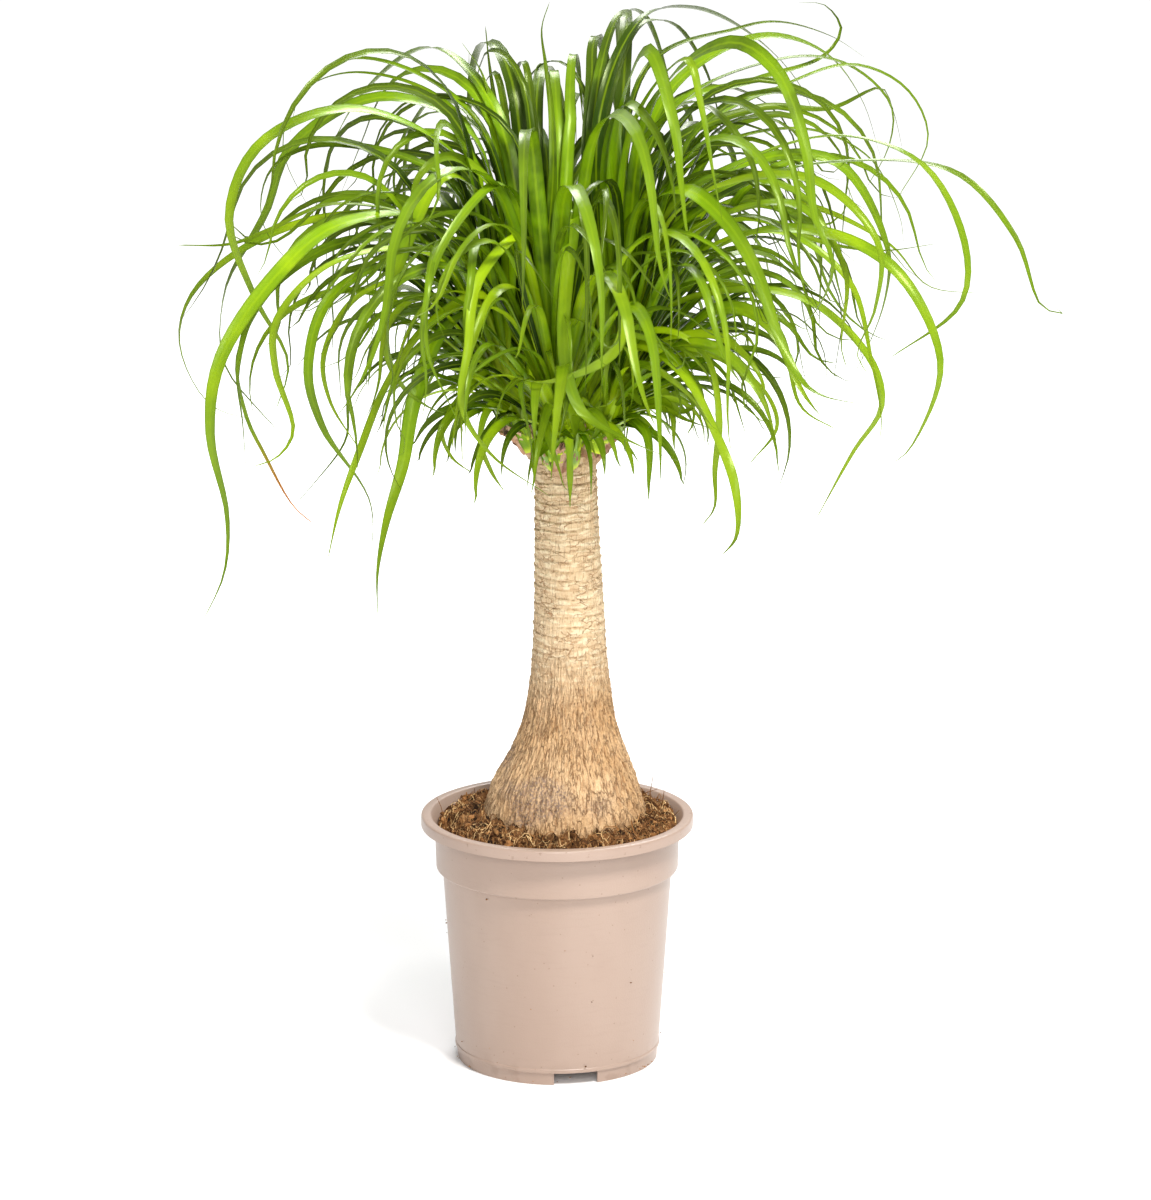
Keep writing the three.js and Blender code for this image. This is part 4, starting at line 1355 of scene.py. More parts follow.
    def _chip(
        self, bm: bmesh.types.BMesh, draw: Draw, radius: float, turn: float, height: float, size: float
    ) -> None:
        """Add one bark chip or crumb.

        Args:
            bm: Mesh that it is added to.
            draw: Stream of draws.
            radius: Distance of its middle from the pot's axis.
            turn: Its direction from the axis, in radians.
            height: Height of its middle.
            size: Half its width.
        """
        place = Matrix.Translation(polar(radius, turn, height) * MM)
        tilt = Matrix.Rotation(math.tau * draw(), 4, "Z") @ Matrix.Rotation(draw(), 4, "X")
        shape = Matrix.Diagonal((1.5 * size * MM, size * MM, 0.6 * size * MM, 1))
        made = bmesh.ops.create_icosphere(bm, subdivisions=1, radius=1, matrix=place @ tilt @ shape)["verts"]
        tone = 0.1 + 0.6 * draw()
        layer = bm.verts.layers.float["tone"]
        for vert in made:
            vert[layer] = tone
            vert.co += Vector((draw() - 0.5, draw() - 0.5, draw() - 0.5)) * 0.5 * size * MM


@dataclass(frozen=True)
class HeadPlace:
    """Where a leafy head stands: its foot, leaning axis, bearing and the wedge that it keeps to."""

    number: int
    sizes: HeadSizes = HEADS

    @property
    def name(self) -> str:
        """Name of the head's node."""
        return self.sizes.places[self.number][0]

    @property
    def bearing(self) -> float:
        """Direction of the head from the trunk's axis, in radians."""
        return math.radians(self.sizes.first_bearing + self.number * self.sizes.sector)

    @property
    def foot(self) -> np.ndarray:
        """Centre of the head's foot.

        Returns:
            The point, in millimetres.
        """
        _, circle, level = self.sizes.places[self.number]
        sideways = TRUNK.axis_x + circle * math.cos(self.bearing)
        return np.array((sideways, circle * math.sin(self.bearing), level))

    @property
    def up(self) -> np.ndarray:
        """The head's leaning axis."""
        lean = math.radians(self.sizes.lean)
        return np.array(
            (math.cos(self.bearing) * math.sin(lean), math.sin(self.bearing) * math.sin(lean), math.cos(lean))
        )

    @property
    def side(self) -> np.ndarray:
        """Level direction square to the head's bearing."""
        return np.array((-math.sin(self.bearing), math.cos(self.bearing), 0))

    def rings(self, profile: Table, sides: int) -> np.ndarray:
        """Give round rings along the head's axis.

        Args:
            profile: Distance from the foot and radius of each ring.
            sides: How many points each ring has.

        Returns:
            Points indexed by ring, place round it and axis.
        """
        other = np.cross(self.up, self.side)
        turns = np.linspace(0, math.tau, sides, endpoint=False)
        spread = np.cos(turns)[:, None] * self.side + np.sin(turns)[:, None] * other
        return np.array([self.foot + self.up * reach + spread * radius for reach, radius in profile])

    def root(self, reach: float, bearing: float) -> np.ndarray:
        """Give a leaf's root, a little out from the core's middle on the leaf's own side."""
        out = np.array((math.cos(bearing), math.sin(bearing), 0))
        return self.foot + self.up * reach + out * self.sizes.root_offset

    def holds(self, bearing: float) -> bool:
        """Tell whether a bearing in degrees falls in the head's wedge."""
        half = math.radians(self.sizes.sector / 2)
        return math.cos(math.radians(bearing) - self.bearing) > math.cos(half)

    def keep_inside(self, centre: np.ndarray, room: np.ndarray) -> np.ndarray:
        """Move points of a centre line into the head's wedge.

        Args:
            centre: Points of the line.
            room: Room that each point needs beside it.

        Returns:
            The moved points.
        """
        half = math.radians(self.sizes.sector / 2)
        moved = centre.copy()
        for wall in (self.bearing + half - math.pi / 2, self.bearing - half + math.pi / 2):
            inward = np.array((math.cos(wall), math.sin(wall), 0))
            short = room - (moved - np.array((TRUNK.axis_x, 0, 0))) @ inward
            moved += np.maximum(short, 0)[:, None] * inward
        return moved


def head_places() -> list[HeadPlace]:
    """Give the places of all the heads."""
    return [HeadPlace(number) for number in range(len(HEADS.places))]


@dataclass(frozen=True)
class Flap:
    """Thin bent sheet that follows a head's stub and core, and curls away at its pointed top."""

    middle: float
    half: float
    low: float
    high: float
    flare: float
    lift: float
    crumple: float = 0.3
    taper: float = 0.75
    raggedness: float = 0.15
    across_steps: int = 9
    rows: int = 11
    thickness: float = 0.45

    def rings(self, place: HeadPlace) -> np.ndarray:
        """Give the sheet's closed rings, from its foot to its top.

        Args:
            place: The head that it hugs.

        Returns:
            Points in millimetres, indexed by row, place round the row and axis.
        """
        other = np.cross(place.up, place.side)
        profile = (*HEADS.stub_profile, *HEADS.core_profile[1:])
        rings = []
        for share in np.linspace(0, 1, self.rows):
            reach = self.low + (self.high - self.low) * share
            base = read_table(profile, reach, 1)
            faces = []
            for skin in (self.lift + self.thickness, self.lift):
                face = []
                for sideways in np.linspace(-1, 1, self.across_steps):
                    turn = self.middle + self.half * sideways * (1 - self.taper * share ** 2)
                    uneven = 1 + math.sin(9 * sideways + 3 * self.middle)
                    ragged = self.raggedness * share * abs(sideways) * uneven
                    height = reach - (self.high - self.low) * ragged
                    fold = Vector((5 * turn, 0.25 * height, self.middle))
                    radius = base + skin + self.flare * share ** 3 + self.crumple * noise.noise(fold) * 2
                    spread = math.cos(turn) * place.side + math.sin(turn) * other
                    face.append(place.foot + place.up * height + spread * radius)
                faces.append(face)
            rings.append(faces[0] + faces[1][::-1])
        return np.array(rings)


@dataclass
class Trunk:
    """The trunk: swollen foot, ringed stem, cut top, stubs and roots, as one grown piece."""

    sizes: TrunkSizes = TRUNK
    steps: int = 328
    row: float = 0.97
    foot_row: float = 1.6
    coarse_row: float = 9
    cap_shares: tuple[float, ...] = (0.9, 0.8, 0.6, 0.35, 0.0)
    cap_step: float = 0.01
    buried_below: float = 180
    bark_margin: float = 12
    underside: float = 92
    stem_blend: tuple[float, float] = (270, 350)
    scar_blend: tuple[float, float] = (285, 335)
    collar_blend: tuple[float, float] = (470, 492)
    stain_bearing: float = -2.1
    stain_height: float = 218
    stain_spread: tuple[float, float] = (0.5, 26)
    scar_pitch: float = 7.4
    marks: tuple[str, ...] = ("foot", "flake", "crack", "stain")
    stub_sides: int = 28
    stub_rows: int = 12
    husks: int = 7
    seed: int = 7
    husk_seed: int = 31

    def build(self) -> list[bpy.types.Object]:
        """Build the trunk and the dry sheaths on its stubs.

        Returns:
            The finished pieces.
        """
        maker = PieceMaker("trunk_bark")
        maker.carry(*self.marks)
        self._stem(maker)
        self._roots(maker)
        for place in head_places():
            rings = place.rings(self._stub_profile(), self.stub_sides)
            maker.sleeve(self._roughened(rings, place.number), foot=0.2, flake=0.0, crack=0.25, stain=0.3)
        trunk = maker.piece(BarkFinish().material(), Slot.BARK, "trunk", crease=70)
        return [trunk, self._husks()]

    def _stub_profile(self) -> list[tuple[float, float]]:
        """Give the stubs' profile in fine steps, closed at its top.

        Returns:
            Distance from the head's foot and radius of each ring, in millimetres.
        """
        reaches = np.linspace(HEADS.stub_profile[0][0], 0, self.stub_rows)
        profile = [(reach, read_table(HEADS.stub_profile, reach, 1)) for reach in reaches]
        return [*profile, (0.1, 9), (0.15, 0.4)]

    def _roughened(self, rings: np.ndarray, number: int) -> np.ndarray:
        """Roughen rings of points with small lumps.

        Args:
            rings: The points.
            number: Shifts the lumps, so that no two pieces are alike.

        Returns:
            The roughened points.
        """
        rough = rings.copy()
        middles = rings.mean(axis=1)
        for row, middle in enumerate(middles):
            for column in range(rings.shape[1]):
                place = Vector(rings[row, column]) * 0.22 + Vector((number, 0, 0))
                rough[row, column] = middle + (rings[row, column] - middle) * (1 + 0.07 * noise.noise(place))
        return rough

    def _stem(self, maker: PieceMaker) -> None:
        """Turn the trunk's body and carve its bark.

        Args:
            maker: Piece that it is added to.
        """
        top = self.sizes.stem_top
        stages = (
            (self.buried_below, self.coarse_row),
            (self.sizes.stem_foot, self.foot_row),
            (top - self.row, self.row),
        )
        heights = [self.underside, self.underside + 0.5, self.underside + 3]
        for end, row in stages:
            while heights[-1] < end:
                heights.append(heights[-1] + row)
        body = [(1.0, height) for height in (*heights, top)]
        cap = [(share, top + self.cap_step * row) for row, share in enumerate(self.cap_shares, 1)]
        layers = [maker.bm.verts.layers.float[key] for key in self.marks]
        for vert in maker.turned([(0.0, self.underside - 1), *body, *cap], self.steps):
            share = math.hypot(vert.co.x, vert.co.y) / MM
            height = vert.co.z / MM
            turn = math.atan2(vert.co.y, vert.co.x)
            buried = height <= self.buried_below - self.bark_margin
            relief, flake, crack, stain = (0.0, 0, 0, 0) if buried else self._bark(min(height, top), turn)
            radius = read_table(self.sizes.profile, height, 1) * share + relief * min(share * 1.2, 1)
            centre = read_table(self.sizes.profile, height, 2)
            drop = 0.0
            if height > top:
                lumps = noise.noise(Vector((vert.co.x, vert.co.y, 0)) * 900)
                drop = self.sizes.cut_top_depth * (1 - share ** 2) - 0.8 * lumps
                height = top
            vert.co = Vector((centre + radius * math.cos(turn), radius * math.sin(turn), height - drop)) * MM
            foot = 1 - smooth_step(height, *self.stem_blend)
            for layer, mark in zip(layers, (foot, flake, crack, max(stain, smooth_step(drop, 0.5, 3)))):
                vert[layer] = mark

    def _bark(self, height: float, turn: float) -> tuple[float, float, float, float]:
        """Work out the bark at a place on the trunk.

        Args:
            height: Height above the floor, in millimetres.
            turn: Direction from the trunk's axis, in radians.

        Returns:
            Relief in millimetres, and the shares of flake, crack and stain.
        """
        girth = read_table(self.sizes.profile, height, 1)
        across = polar(girth, turn, height)
        stem = smooth_step(height, *self.stem_blend)
        wander = 2.6 * noise.noise(Vector((across.x * 0.05, across.y * 0.05, height * 0.03)))
        ring = (height + wander) / self.scar_pitch
        phase = ring - math.floor(ring)
        strength = 0.5 + 0.5 * noise.noise(Vector((math.floor(ring) * 3.7, across.x * 0.06, across.y * 0.06)))
        ledge = (phase ** 3 - 0.25) * strength
        groove = math.exp(-((phase - 0.04) / 0.07) ** 2) * strength
        ridges = ridged(polar(12, turn, height * 0.05))
        fine = ridged(polar(27, turn, height * 0.12))
        rough = noise.noise(across * 0.45)
        plates = noise.noise(Vector((across.x * 0.13, across.y * 0.13, height * 0.42)) + Vector((9, 2, 4)))
        high = smooth_step(height, *self.scar_blend)
        flake = high * smooth_step(plates, 0.06, 0.24) * smooth_step(phase, 0.12, 0.3)
        split = noise.noise(Vector((across.x * 0.2, across.y * 0.2, height * 0.07)) + Vector((1, 8, 3)))
        crack = smooth_step(0.03 - abs(split), 0, 0.03) * smooth_step(rough, -0.1, 0.2) * 0.6
        valley = smooth_step(0.55 - fine, 0, 0.7) * (1 - stem)
        crack = max(crack, 0.45 * valley, stem * groove * smooth_step(rough, -0.35, 0.1))
        foot_relief = 1.1 * (ridges - 0.6) + 1.1 * (fine - 0.6)
        relief = high * (1.6 * ledge - 0.7 * groove + 0.35 * flake) + (1 - 0.75 * high) * foot_relief
        relief += 0.35 * rough - 0.6 * crack
        patch = noise.noise(across * 0.03 + Vector((0.4, 0.1, 5.2)))
        stain_width, stain_rise = self.stain_spread
        aside, above = (turn - self.stain_bearing) / stain_width, (height - self.stain_height) / stain_rise
        left_foot = math.exp(-aside ** 2 - above ** 2)
        stain = (1 - stem) * smooth_step(patch + 0.75 * left_foot, 0.22, 0.6)
        collar = smooth_step(height, *self.collar_blend) * smooth_step(noise.noise(across * 0.16), -0.2, 0.3)
        return relief, flake * (1 - collar), crack, max(stain, 0.7 * collar)

    def _roots(self, maker: PieceMaker) -> None:
        """Add the stout roots under the surface.

        Args:
            maker: Piece that they are added to.
        """
        draw = seeded_draws(self.seed)
        for number in range(self.sizes.root_count):
            bearing = math.tau * (number + 0.3 * draw()) / self.sizes.root_count
            line = np.array([
                (5 + reach * math.cos(bearing), reach * math.sin(bearing), height)
                for reach, height, _ in self.sizes.root_route
            ])
            radii = [radius for _, _, radius in self.sizes.root_route]
            maker.sleeve(tube_rings(line, radii, 10), foot=1.0, flake=0.0, crack=0.0, stain=0.4)

    def _husks(self) -> bpy.types.Object:
        """Build the papery dry sheaths that hug the stubs.

        Returns:
            The finished piece.
        """
        maker = PieceMaker("dry_sheaths")
        maker.carry("tone")
        draw = seeded_draws(self.husk_seed)
        for place in head_places():
            for flap in range(self.husks):
                husk = self._husk(math.tau * (flap + 0.6 * draw()) / self.husks, draw)
                maker.sleeve(husk.rings(place), tone=draw())
        return maker.piece(HuskFinish().material(), Slot.BARK, crease=60)

    def _husk(self, middle: float, draw: Draw) -> Flap:
        """Draw one sheath: a thin bent sheet that follows the stub and curls away at its top.

        Args:
            middle: Its place round the head, in radians.
            draw: Stream of draws.

        Returns:
            The sheath.
        """
        low, high, half = -12 - 9 * draw(), 4 + 12 * draw(), 0.35 + 0.45 * draw()
        return Flap(middle, half, low, high, flare=1.5 + 6 * draw(), lift=0.5 + 0.6 * draw(), crumple=1.1)


class SmoothLine:
    """Smooth line through points, read by the share of its length."""

    MARKS = 201
    SMALL = 1e-4

    def __init__(self, points: np.ndarray) -> None:
        """Measure the line.

        Args:
            points: The points that it goes through.
        """
        first = 2 * points[0] - points[1]
        last = 2 * points[-1] - points[-2]
        self.padded = np.vstack((first, points, last))
        self.spans = len(points) - 1
        self.marks = np.linspace(0, 1, self.MARKS)
        steps = np.diff(self._places(self.marks), axis=0)
        self.lengths = np.concatenate(((0,), np.cumsum(np.linalg.norm(steps, axis=1))))

    def _places(self, marks: np.ndarray) -> np.ndarray:
        """Give places on the line at shares of its spans.

        Args:
            marks: The shares.

        Returns:
            The places.
        """
        ahead = np.clip(marks, 0, 1) * self.spans
        span = np.minimum(ahead.astype(int), self.spans - 1)
        weight = (ahead - span)[:, None]
        p0, p1, p2, p3 = (self.padded[span + shift] for shift in range(4))
        pairs = ((p0, p1), (p1, p2), (p2, p3))
        d0, d1, d2 = (np.sqrt(np.linalg.norm(b - a, axis=1))[:, None] for a, b in pairs)
        leave = ((p1 - p0) / d0 - (p2 - p0) / (d0 + d1) + (p2 - p1) / d1) * d1
        arrive = ((p2 - p1) / d1 - (p3 - p1) / (d1 + d2) + (p3 - p2) / d2) * d1
        square = -3 * p1 + 3 * p2 - 2 * leave - arrive
        cube = 2 * p1 - 2 * p2 + leave + arrive
        return p1 + weight * (leave + weight * (square + weight * cube))

    def read(self, shares: np.ndarray) -> tuple[np.ndarray, np.ndarray]:
        """Give places and directions at shares of the line's length.

        Args:
            shares: The shares.

        Returns:
            The places, and the directions there.
        """
        marks = np.interp(shares * self.lengths[-1], self.lengths, self.marks)
        direction = self._places(marks + self.SMALL) - self._places(marks - self.SMALL)
        return self._places(marks), direction / np.linalg.norm(direction, axis=1, keepdims=True)


@dataclass(frozen=True)
class LeafShape:
    """One leaf: its centre line, bearing, widths, roll, twist, wave, tone and dryness at the tip."""

    line: np.ndarray
    bearing: float
    width: float
    roll: float
    tone: float
    twist: float = 0.0
    wave: float = 0.0
    dry: float = 0.0
    stations: int = 30
    least_width: float = 0.0
    room: float = HEADS.margin


@dataclass(frozen=True)
class GrowthRule:
    """How one kind of ruled leaf grows, in millimetres and degrees.

    A gain is what the highest leaf has more than the lowest, and a jitter is the whole width of a draw.
    """

    lowest_rise: float = 12
    highest_rise: float = 76
    rise_jitter: float = 16
    rise_least: float = 26
    rise_length: float = 36
    rise_gain: float = 154
    rise_length_jitter: float = 40
    hang: float = -62
    hang_jitter: float = -46
    front_lift: float = 30
    bend: float = 22
    bend_gain: float = 30
    bend_jitter: float = 36
    lowest_tip: float = 475
    lowest_tip_jitter: float = 95
    hang_fewest: float = 8
    hang_length: float = 20
    hang_length_jitter: float = 110
    flick: float = 95
    curl: float = 170
    width: float = 8
    width_jitter: float = 7
    sweep_jitter: float = 64
    roll_jitter: float = 50
    twist_jitter: float = 0
    spread: float = HEADS.ruled_spread
    dark: float = 0.1
    bright: float = 0.75
    room: float = HEADS.margin


class Growth(Enum):
    """Kinds of ruled leaves: the solids' own, looser ones between them, and the short sheaths at the foot."""

    MAIN = GrowthRule()
    # The looser leaves' darkest tone, below the solids' own, is partly painted shade in the crowded crown
    BETWEEN = GrowthRule(
        lowest_rise=24, rise_jitter=34, rise_least=4, rise_length=12, rise_gain=150, rise_length_jitter=60,
        hang=-45, hang_jitter=-80, bend=16, bend_gain=22, bend_jitter=42, lowest_tip=498,
        lowest_tip_jitter=120, hang_length=10, hang_length_jitter=75, flick=200, curl=0, width=4,
        width_jitter=6, sweep_jitter=170, roll_jitter=110, twist_jitter=130, spread=66, dark=-0.2,
        bright=0.85, room=-60,
    )
    SHEATH = GrowthRule(
        lowest_rise=30, rise_jitter=50, rise_least=4, rise_length=8, rise_gain=16, rise_length_jitter=8,
        hang=-10, hang_jitter=-60, front_lift=0, bend=7, bend_gain=0, bend_jitter=12, lowest_tip=484,
        lowest_tip_jitter=20, hang_fewest=3, hang_length=4, hang_length_jitter=24, flick=260, curl=0,
        width=8, width_jitter=6, sweep_jitter=90, roll_jitter=40, dark=0.8, bright=1.15, room=-6,
    )


@dataclass
class LeafyHead:
    """One head: its leek-like core and all its strap leaves, in one piece.

    Widths, keels and the widest place are shares of a blade's own, and traced_wave is in degrees.
    """

    place: HeadPlace
    material: bpy.types.Material
    sheaths: int = 8
    scales: int = 9
    core_sides: int = 40
    core_rows: int = 26
    rib_depth: float = 0.035
    rib_count: int = 5
    brightest: float = 0.9
    traced_wave: float = 38
    wave_shift: float = 900
    root_width: float = 0.42
    width_gain: float = 0.58
    widest_at: float = 0.42
    root_keel: float = 0.45
    keel_gain: float = 0.55
    channel: float = 1.3
    edge_thickness: float = 0.12
    thickness: float = 0.5
    scale_seed: int = 60
    tone_seed: int = 500
    sheath_seed: int = 700
    between_seed: int = 900

    def build(self) -> bpy.types.Object:
        """Build the head.

        Returns:
            The finished piece.
        """
        maker = PieceMaker(self.place.name.replace("head", "leaves"))
        maker.carry("tone", "dry")
        self._core(maker)
        self._scales(maker)
        for leaf in self._leaves():
            # The tone attribute holds the leaf's own tone with its painted light and shade
            maker.sleeve(self._blade(leaf), tone=self._tone_with_painted_light(leaf), dry=leaf.dry)
        return maker.piece(self.material, Slot.LEAF, self.place.name, crease=50)

    def _core(self, maker: PieceMaker) -> None:
        """Add the pale leek-like core, with ribs where the leaf bases wrap it.

        Args:
            maker: Piece that it is added to.
        """
        foot, top = HEADS.core_profile[0][0], HEADS.core_profile[-1][0]
        reaches = np.linspace(foot, top, self.core_rows)
        profile = [(reach, read_table(HEADS.core_profile, reach, 1)) for reach in reaches]
        rings = self.place.rings([(foot - 0.05, 0.3), *profile, (top + 0.2, 0.2)], self.core_sides)
        middles = rings.mean(axis=1, keepdims=True)
        turns = np.linspace(0, math.tau, self.core_sides, endpoint=False)
        ribs = 1 + self.rib_depth * np.sin(self.rib_count * turns + 1)[None, :, None]
        maker.sleeve(middles + (rings - middles) * ribs, tone=0.95, dry=0.0)

    def _tone_with_painted_light(self, leaf: LeafShape) -> float:
        """Give a leaf's tone, with painted shade if it grows straight back and painted light if it comes
        forward.

        Args:
            leaf: The leaf.

        Returns:
            The tone, about 0 for the darkest leaf.
        """
        back = math.sin(leaf.bearing)
        # Painted light on leaves that come forward and painted shade on those that grow straight back
        lit = 0.12 + 0.15 * smooth_step(-back, 0.3, 0.9) - 0.25 * smooth_step(back, 0.5, 1)
        return min(leaf.tone + lit, self.brightest)

    def _scales(self, maker: PieceMaker) -> None:
        """Add the short lime-green bases of shed and young leaves, which hug the head's foot.

        Args:
            maker: Piece that they are added to.
        """
        draw = seeded_draws(self.scale_seed + self.place.number)
        for number in range(self.scales):
            middle = math.tau * (number + 0.5 * draw()) / self.scales
            low = -19 * draw()
            half, high = 0.4 + 0.35 * draw(), 16 + 16 * draw()
            flap = Flap(middle, half, low, high, flare=1 + 7 * draw() ** 2, lift=1.1 + 1.6 * draw())
            maker.sleeve(flap.rings(self.place), tone=0.5 + 0.4 * draw(), dry=0.0)

    def _leaves(self) -> Iterator[LeafShape]:
        """Give every leaf of the head: traced, ruled, the looser ones between them, and the sheaths.

        Returns:
            The leaves, one after the other.
        """
        traced = [row for row in TRACED_SIDE_LEAVES if self.place.holds(row[0])]
        deep = [row for row in TRACED_DEEP_LEAVES if self.place.holds(row[0])]
        tones = seeded_draws(self.tone_seed + self.place.number)
        for degrees, width, *points in traced:
            bearing = math.radians(degrees)
            line = [self._on_bearing(sideways, height, bearing) for sideways, height in points]
            dry = 1.0 if points[-1] == DRY_TIP else 0.0
            yield self._traced(bearing, width, line, 0.4 + 0.5 * tones(), dry)
        for degrees, width, *points in deep:
            line = [self._at_depth(sideways, height, depth) for sideways, height, depth in points]
            yield self._traced(math.radians(degrees), width, line, 0.5 + 0.5 * tones(), 0.0)
        ruled = max(HEADS.fewest_ruled, HEADS.leaves - len(traced) - len(deep))
        for growth, count, seed in (
            (Growth.MAIN, ruled, HEADS.seed),
            (Growth.BETWEEN, HEADS.loose_leaves[self.place.number], self.between_seed),
            (Growth.SHEATH, self.sheaths, self.sheath_seed),
        ):
            draw = seeded_draws(seed + self.place.number)
            for number in range(count):
                yield self._ruled(number / (count - 1), number, draw, growth.value, tones())

    def _at_depth(self, sideways: float, height: float, depth: float) -> np.ndarray:
        """Give the point that the front view shows at a place, at a depth behind the trunk's axis."""
        share = (depth - EYE.y) / -EYE.y
        return np.array((EYE.x + (sideways - EYE.x) * share, depth, EYE.z + (height - EYE.z) * share))

    def _on_bearing(self, sideways: float, height: float, bearing: float) -> np.ndarray:
        """Give the point that the front view shows at a place, on the upright plane of a bearing.

        Args:
            sideways: Sideways place in the front view, in millimetres.
            height: Height in the front view, in millimetres.
            bearing: Direction of the plane from the head's foot, in radians.

        Returns:
            The point.
        """
        foot = self.place.foot
        slope = (sideways - EYE.x) / -EYE.y
        gap = EYE.x - foot[0] + slope * (foot[1] - EYE.y)
        reach = gap / (math.cos(bearing) - slope * math.sin(bearing))
        return self._at_depth(sideways, height, foot[1] + reach * math.sin(bearing))

    def _roll(self, bearing: float) -> float:
        """Give the roll that turns a sideways blade's upper face a little to the front."""
        return math.radians(HEADS.facing_roll) * math.cos(bearing)

    def _traced(
        self, bearing: float, width: float, points: list[np.ndarray], tone: float, dry: float
    ) -> LeafShape:
        """Give a leaf through traced points.

        Args:
            bearing: Its bearing, in radians.
            width: Its greatest width.
            points: The points, from the first bend to the tip.
            tone: How bright it is.
            dry: How dry its tip is.

        Returns:
            The leaf.
        """
        crest = max(point[2] for point in points)
        climb = (crest - HEADS.crest_lowest) / (HEADS.crest_highest - HEADS.crest_lowest)
        reach = HEADS.root_lowest + HEADS.root_gain * min(max(climb, 0), 1)
        line = np.array([self.place.root(reach, bearing), *points])
        wave = math.radians(self.traced_wave) * math.sin(self.wave_shift * tone)
        shade = tone - 0.6 * climb ** 2
        return LeafShape(
            line, bearing, width, self._roll(bearing), shade, wave=wave, dry=dry, stations=52, least_width=0.9
        )

    def _ruled(self, rank: float, number: int, draw: Draw, rule: GrowthRule, tone: float) -> LeafShape:
        """Give a leaf drawn by rule: it rises, bends over in an arc, hangs, and flicks its tip.

        Args:
            rank: 0 for the head's lowest leaf and 1 for its highest.
            number: The leaf's number, which sets its bearing.
            draw: Stream of draws.
            rule: How its kind grows.
            tone: Where it stands between its kind's darkest and brightest.

        Returns:
            The leaf.
        """
        spread = ((number + 0.5) * HEADS.golden_turn + 0.08 * draw()) % 1
        bearing = self.place.bearing + math.radians(rule.spread * (2 * spread - 1))
        climb = (rule.highest_rise - rule.lowest_rise) * rank ** 0.7
        rise = rule.lowest_rise + climb + rule.rise_jitter * (draw() - 0.5)
        drawn_rise = rule.rise_length + rule.rise_gain * rank + rule.rise_length_jitter * (draw() - 0.5)
        rise_length = max(rule.rise_least, drawn_rise)
        facing = smooth_step(-math.sin(bearing), 0.82, 1)
        hang = rule.hang + rule.hang_jitter * draw() + rule.front_lift * facing * (1 - rank)
        bend = rule.bend + rule.bend_gain * rank + rule.bend_jitter * draw()
        bend_length = bend * math.radians(rise - hang)
        root = self.place.root(HEADS.root_lowest + HEADS.root_gain * rank, bearing)
        bend_drop = bend * (math.cos(math.radians(rise)) - math.cos(math.radians(hang)))
        bend_foot = root[2] + rise_length * math.sin(math.radians(rise)) - bend_drop
        lowest_tip = rule.lowest_tip + rule.lowest_tip_jitter * draw() + rule.front_lift * facing
        room = (bend_foot - lowest_tip) / math.sin(math.radians(-hang))
        drawn_hang = rule.hang_length + rule.hang_length_jitter * draw()
        hang_length = max(rule.hang_fewest, min(drawn_hang, room))
        flick = rule.flick * draw() ** 2 + rule.curl * tone * (1 - rank) ** 2
        width = rule.width + rule.width_jitter * draw()
        sweep = math.radians(rule.sweep_jitter * (draw() - 0.5))
        roll = self._roll(bearing) + math.radians(rule.roll_jitter * (draw() - 0.5))
        twist = math.radians(rule.twist_jitter * (tone - 0.5))
        length = rise_length + bend_length + hang_length
        stops = [0, rise_length, rise_length + bend_length, length]
        pitches = [rise + 4, rise - 8, hang, hang + flick]
        line = [root]
        for step in range(HEADS.line_steps):
            along = (step + 0.5) / HEADS.line_steps
            pitch = math.radians(float(np.interp(along * length, stops, pitches)))
            heading = bearing + sweep * along * along
            way = (math.cos(pitch) * math.cos(heading), math.cos(pitch) * math.sin(heading), math.sin(pitch))
            line.append(line[-1] + np.array(way) * length / HEADS.line_steps)
        shade = rule.dark + (rule.bright - rule.dark) * tone - 0.4 * rank ** 2
        return LeafShape(np.array(line), bearing, width, roll, shade, twist, stations=26, room=rule.room)

    def _blade(self, leaf: LeafShape) -> np.ndarray:
        """Give the rings of a blade with a channelled upper face, tapering to a point.

        Args:
            leaf: The leaf.

        Returns:
            Points indexed by station, place round the section and axis.
        """
        along = np.linspace(0, 1, leaf.stations)
        widening = np.sin(np.minimum(along / self.widest_at, 1) * math.pi / 2)
        share = (self.root_width + self.width_gain * widening) * (1 - along ** 2.8) ** 1.1
        half = np.maximum(leaf.width * share, leaf.least_width * (along < 1)) / 2
        keel = HEADS.keel_depth * (self.root_keel + self.keel_gain * share)
        centre, tangent = SmoothLine(leaf.line).read(along)
        centre = self.place.keep_inside(centre, np.maximum(half, keel) + leaf.room)
        across = np.array((-math.sin(leaf.bearing), math.cos(leaf.bearing), 0))
        side = across - (tangent @ across)[:, None] * tangent
        side /= np.linalg.norm(side, axis=1, keepdims=True)
        eased = np.array([smooth_step(value, 0, 0.7) for value in along])
        turning = leaf.twist * along ** 1.5 + leaf.wave * np.sin(2.6 * math.pi * along)
        roll = (leaf.roll * eased + turning)[:, None]
        side = side * np.cos(roll) + np.cross(tangent, side) * np.sin(roll)
        under = np.cross(side, tangent)
        places = np.array((-1, -0.5, 0, 0.5, 1, 0.5, 0, -0.5))
        lower = np.array((0, 0, 0, 0, 0, 1, 1, 1))
        hollow = 1 - places ** 2
        thickness = lower * (self.edge_thickness + self.thickness * share[:, None])
        depth = (self.channel * share[:, None] + thickness) * hollow
        sideways = side[:, None] * (half[:, None] * places)[..., None]
        return centre[:, None] + sideways + under[:, None] * depth[..., None]


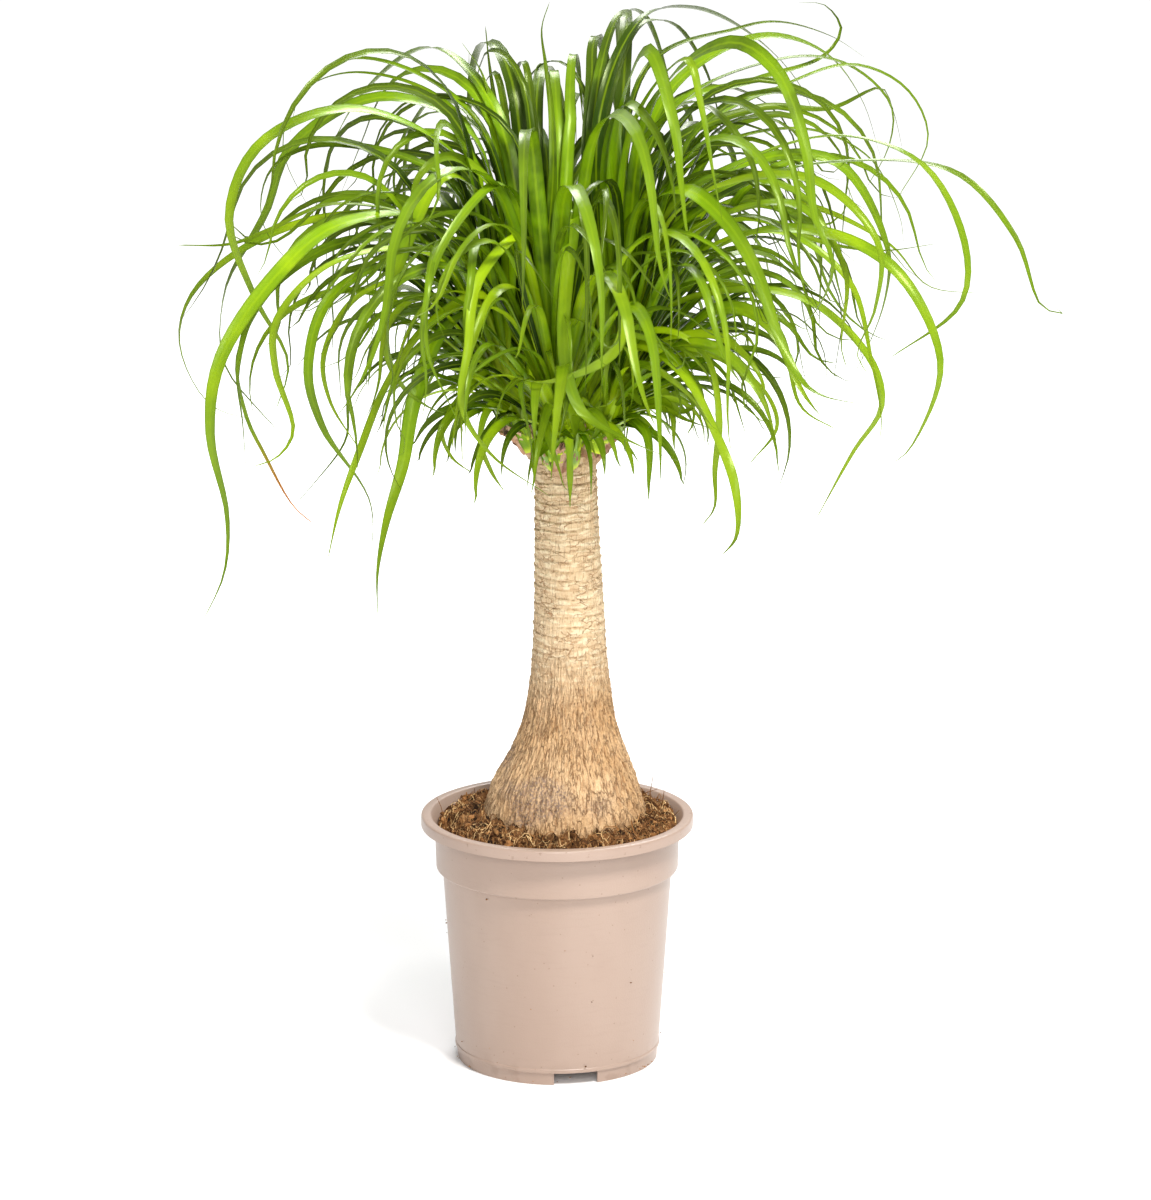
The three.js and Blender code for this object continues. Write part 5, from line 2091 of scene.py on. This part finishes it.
@dataclass(frozen=True)
class Studio:
    """Pale floor, soft lights and the camera at the photograph's angle."""

    eye: Triple = (14.15, -4074.3, 1383.6)
    pitch: float = 14.05
    lens: float = 164.9
    sensor_width: float = 36
    view_reach: float = 60
    floor_half: float = 9000
    floor_colour: Colour = (0.93, 0.93, 0.93, 1)
    floor_roughness: float = 0.9
    world_strength: float = 0.40
    least_glow: float = 0.03
    most_glow: float = 0.66
    glow_from: float = 85
    glow_full: float = 2200
    aim: Triple = (0, 0, 400)
    lights: tuple[tuple[str, Triple, float, float, Triple], ...] = (
        ("key", (850, -1500, 2700), 700, 100, (1.0, 0.98, 0.95)),
        ("front_fill", (200, -3000, 1500), 1300, 42, (1.0, 1.0, 1.0)),
        ("back", (300, 1900, 2300), 1200, 55, (1.0, 1.0, 1.0)),
    )

    def build(self) -> None:
        """Set up the floor, the lights, the world and the camera."""
        self._floor()
        self._world()
        for light in self.lights:
            self._light(*light)
        self._camera()
        bpy.context.scene.view_settings.view_transform = "Standard"

    def _floor(self) -> None:
        """Lay the pale floor."""
        bm = bmesh.new()
        bmesh.ops.create_grid(bm, x_segments=1, y_segments=1, size=self.floor_half * MM)
        mesh = bpy.data.meshes.new("studio_floor")
        bm.to_mesh(mesh)
        bm.free()
        sketch = NodeSketch("studio_floor_finish")
        sketch.finish(self.floor_colour, self.floor_roughness, 0.0)
        sketch.feed(sketch.shader.inputs["Emission Color"], (1, 1, 1, 1))
        reach = sketch.node("ShaderNodeVectorMath", sketch.place, operation="LENGTH").outputs["Value"]
        glow = sketch.span(reach, self.glow_from * MM, self.glow_full * MM, self.least_glow, self.most_glow)
        sketch.feed(sketch.shader.inputs["Emission Strength"], glow)
        mesh.materials.append(sketch.material)
        placed("studio_floor", mesh)

    def _world(self) -> None:
        """Light the scene evenly from all round."""
        world = bpy.data.worlds.new("studio_world")
        world.use_nodes = True
        background = world.node_tree.nodes["Background"]
        background.inputs["Color"].default_value = (1, 1, 1, 1)
        background.inputs["Strength"].default_value = self.world_strength
        bpy.context.scene.world = world

    def _light(self, name: str, place: Triple, size: float, power: float, colour: Triple) -> None:
        """Hang a soft square light that looks at the plant's middle.

        Args:
            name: The light's name.
            place: Where it hangs, in millimetres.
            size: Its side, in millimetres.
            power: Its power, in watts.
            colour: Its colour.
        """
        light = bpy.data.lights.new(name, "AREA")
        light.size = size * MM
        light.energy = power
        light.color = colour
        lamp = placed(name, light)
        lamp.location = Vector(place) * MM
        sight = Vector(self.aim) * MM - lamp.location
        lamp.rotation_euler = sight.to_track_quat("-Z", "Y").to_euler()

    def _camera(self) -> None:
        """Place the camera at the photograph's viewing angle."""
        view = bpy.data.cameras.new("front_view")
        view.lens = self.lens
        view.sensor_width = self.sensor_width
        view.clip_end = self.view_reach
        camera = placed("front_view", view)
        camera.location = Vector(self.eye) * MM
        camera.rotation_euler = (math.radians(90 - self.pitch), 0, 0)
        bpy.context.scene.camera = camera


def main() -> None:
    """Load the frame and dress it piece by piece."""
    logging.basicConfig(level=logging.INFO, format="%(name)s %(message)s")
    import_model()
    Studio().build()
    NurseryPot().build()
    PottingMix().build()
    Trunk().build()
    leaf = LeafFinish().material()
    for place in head_places():
        LeafyHead(place, leaf).build()


if __name__ == "__main__":
    main()
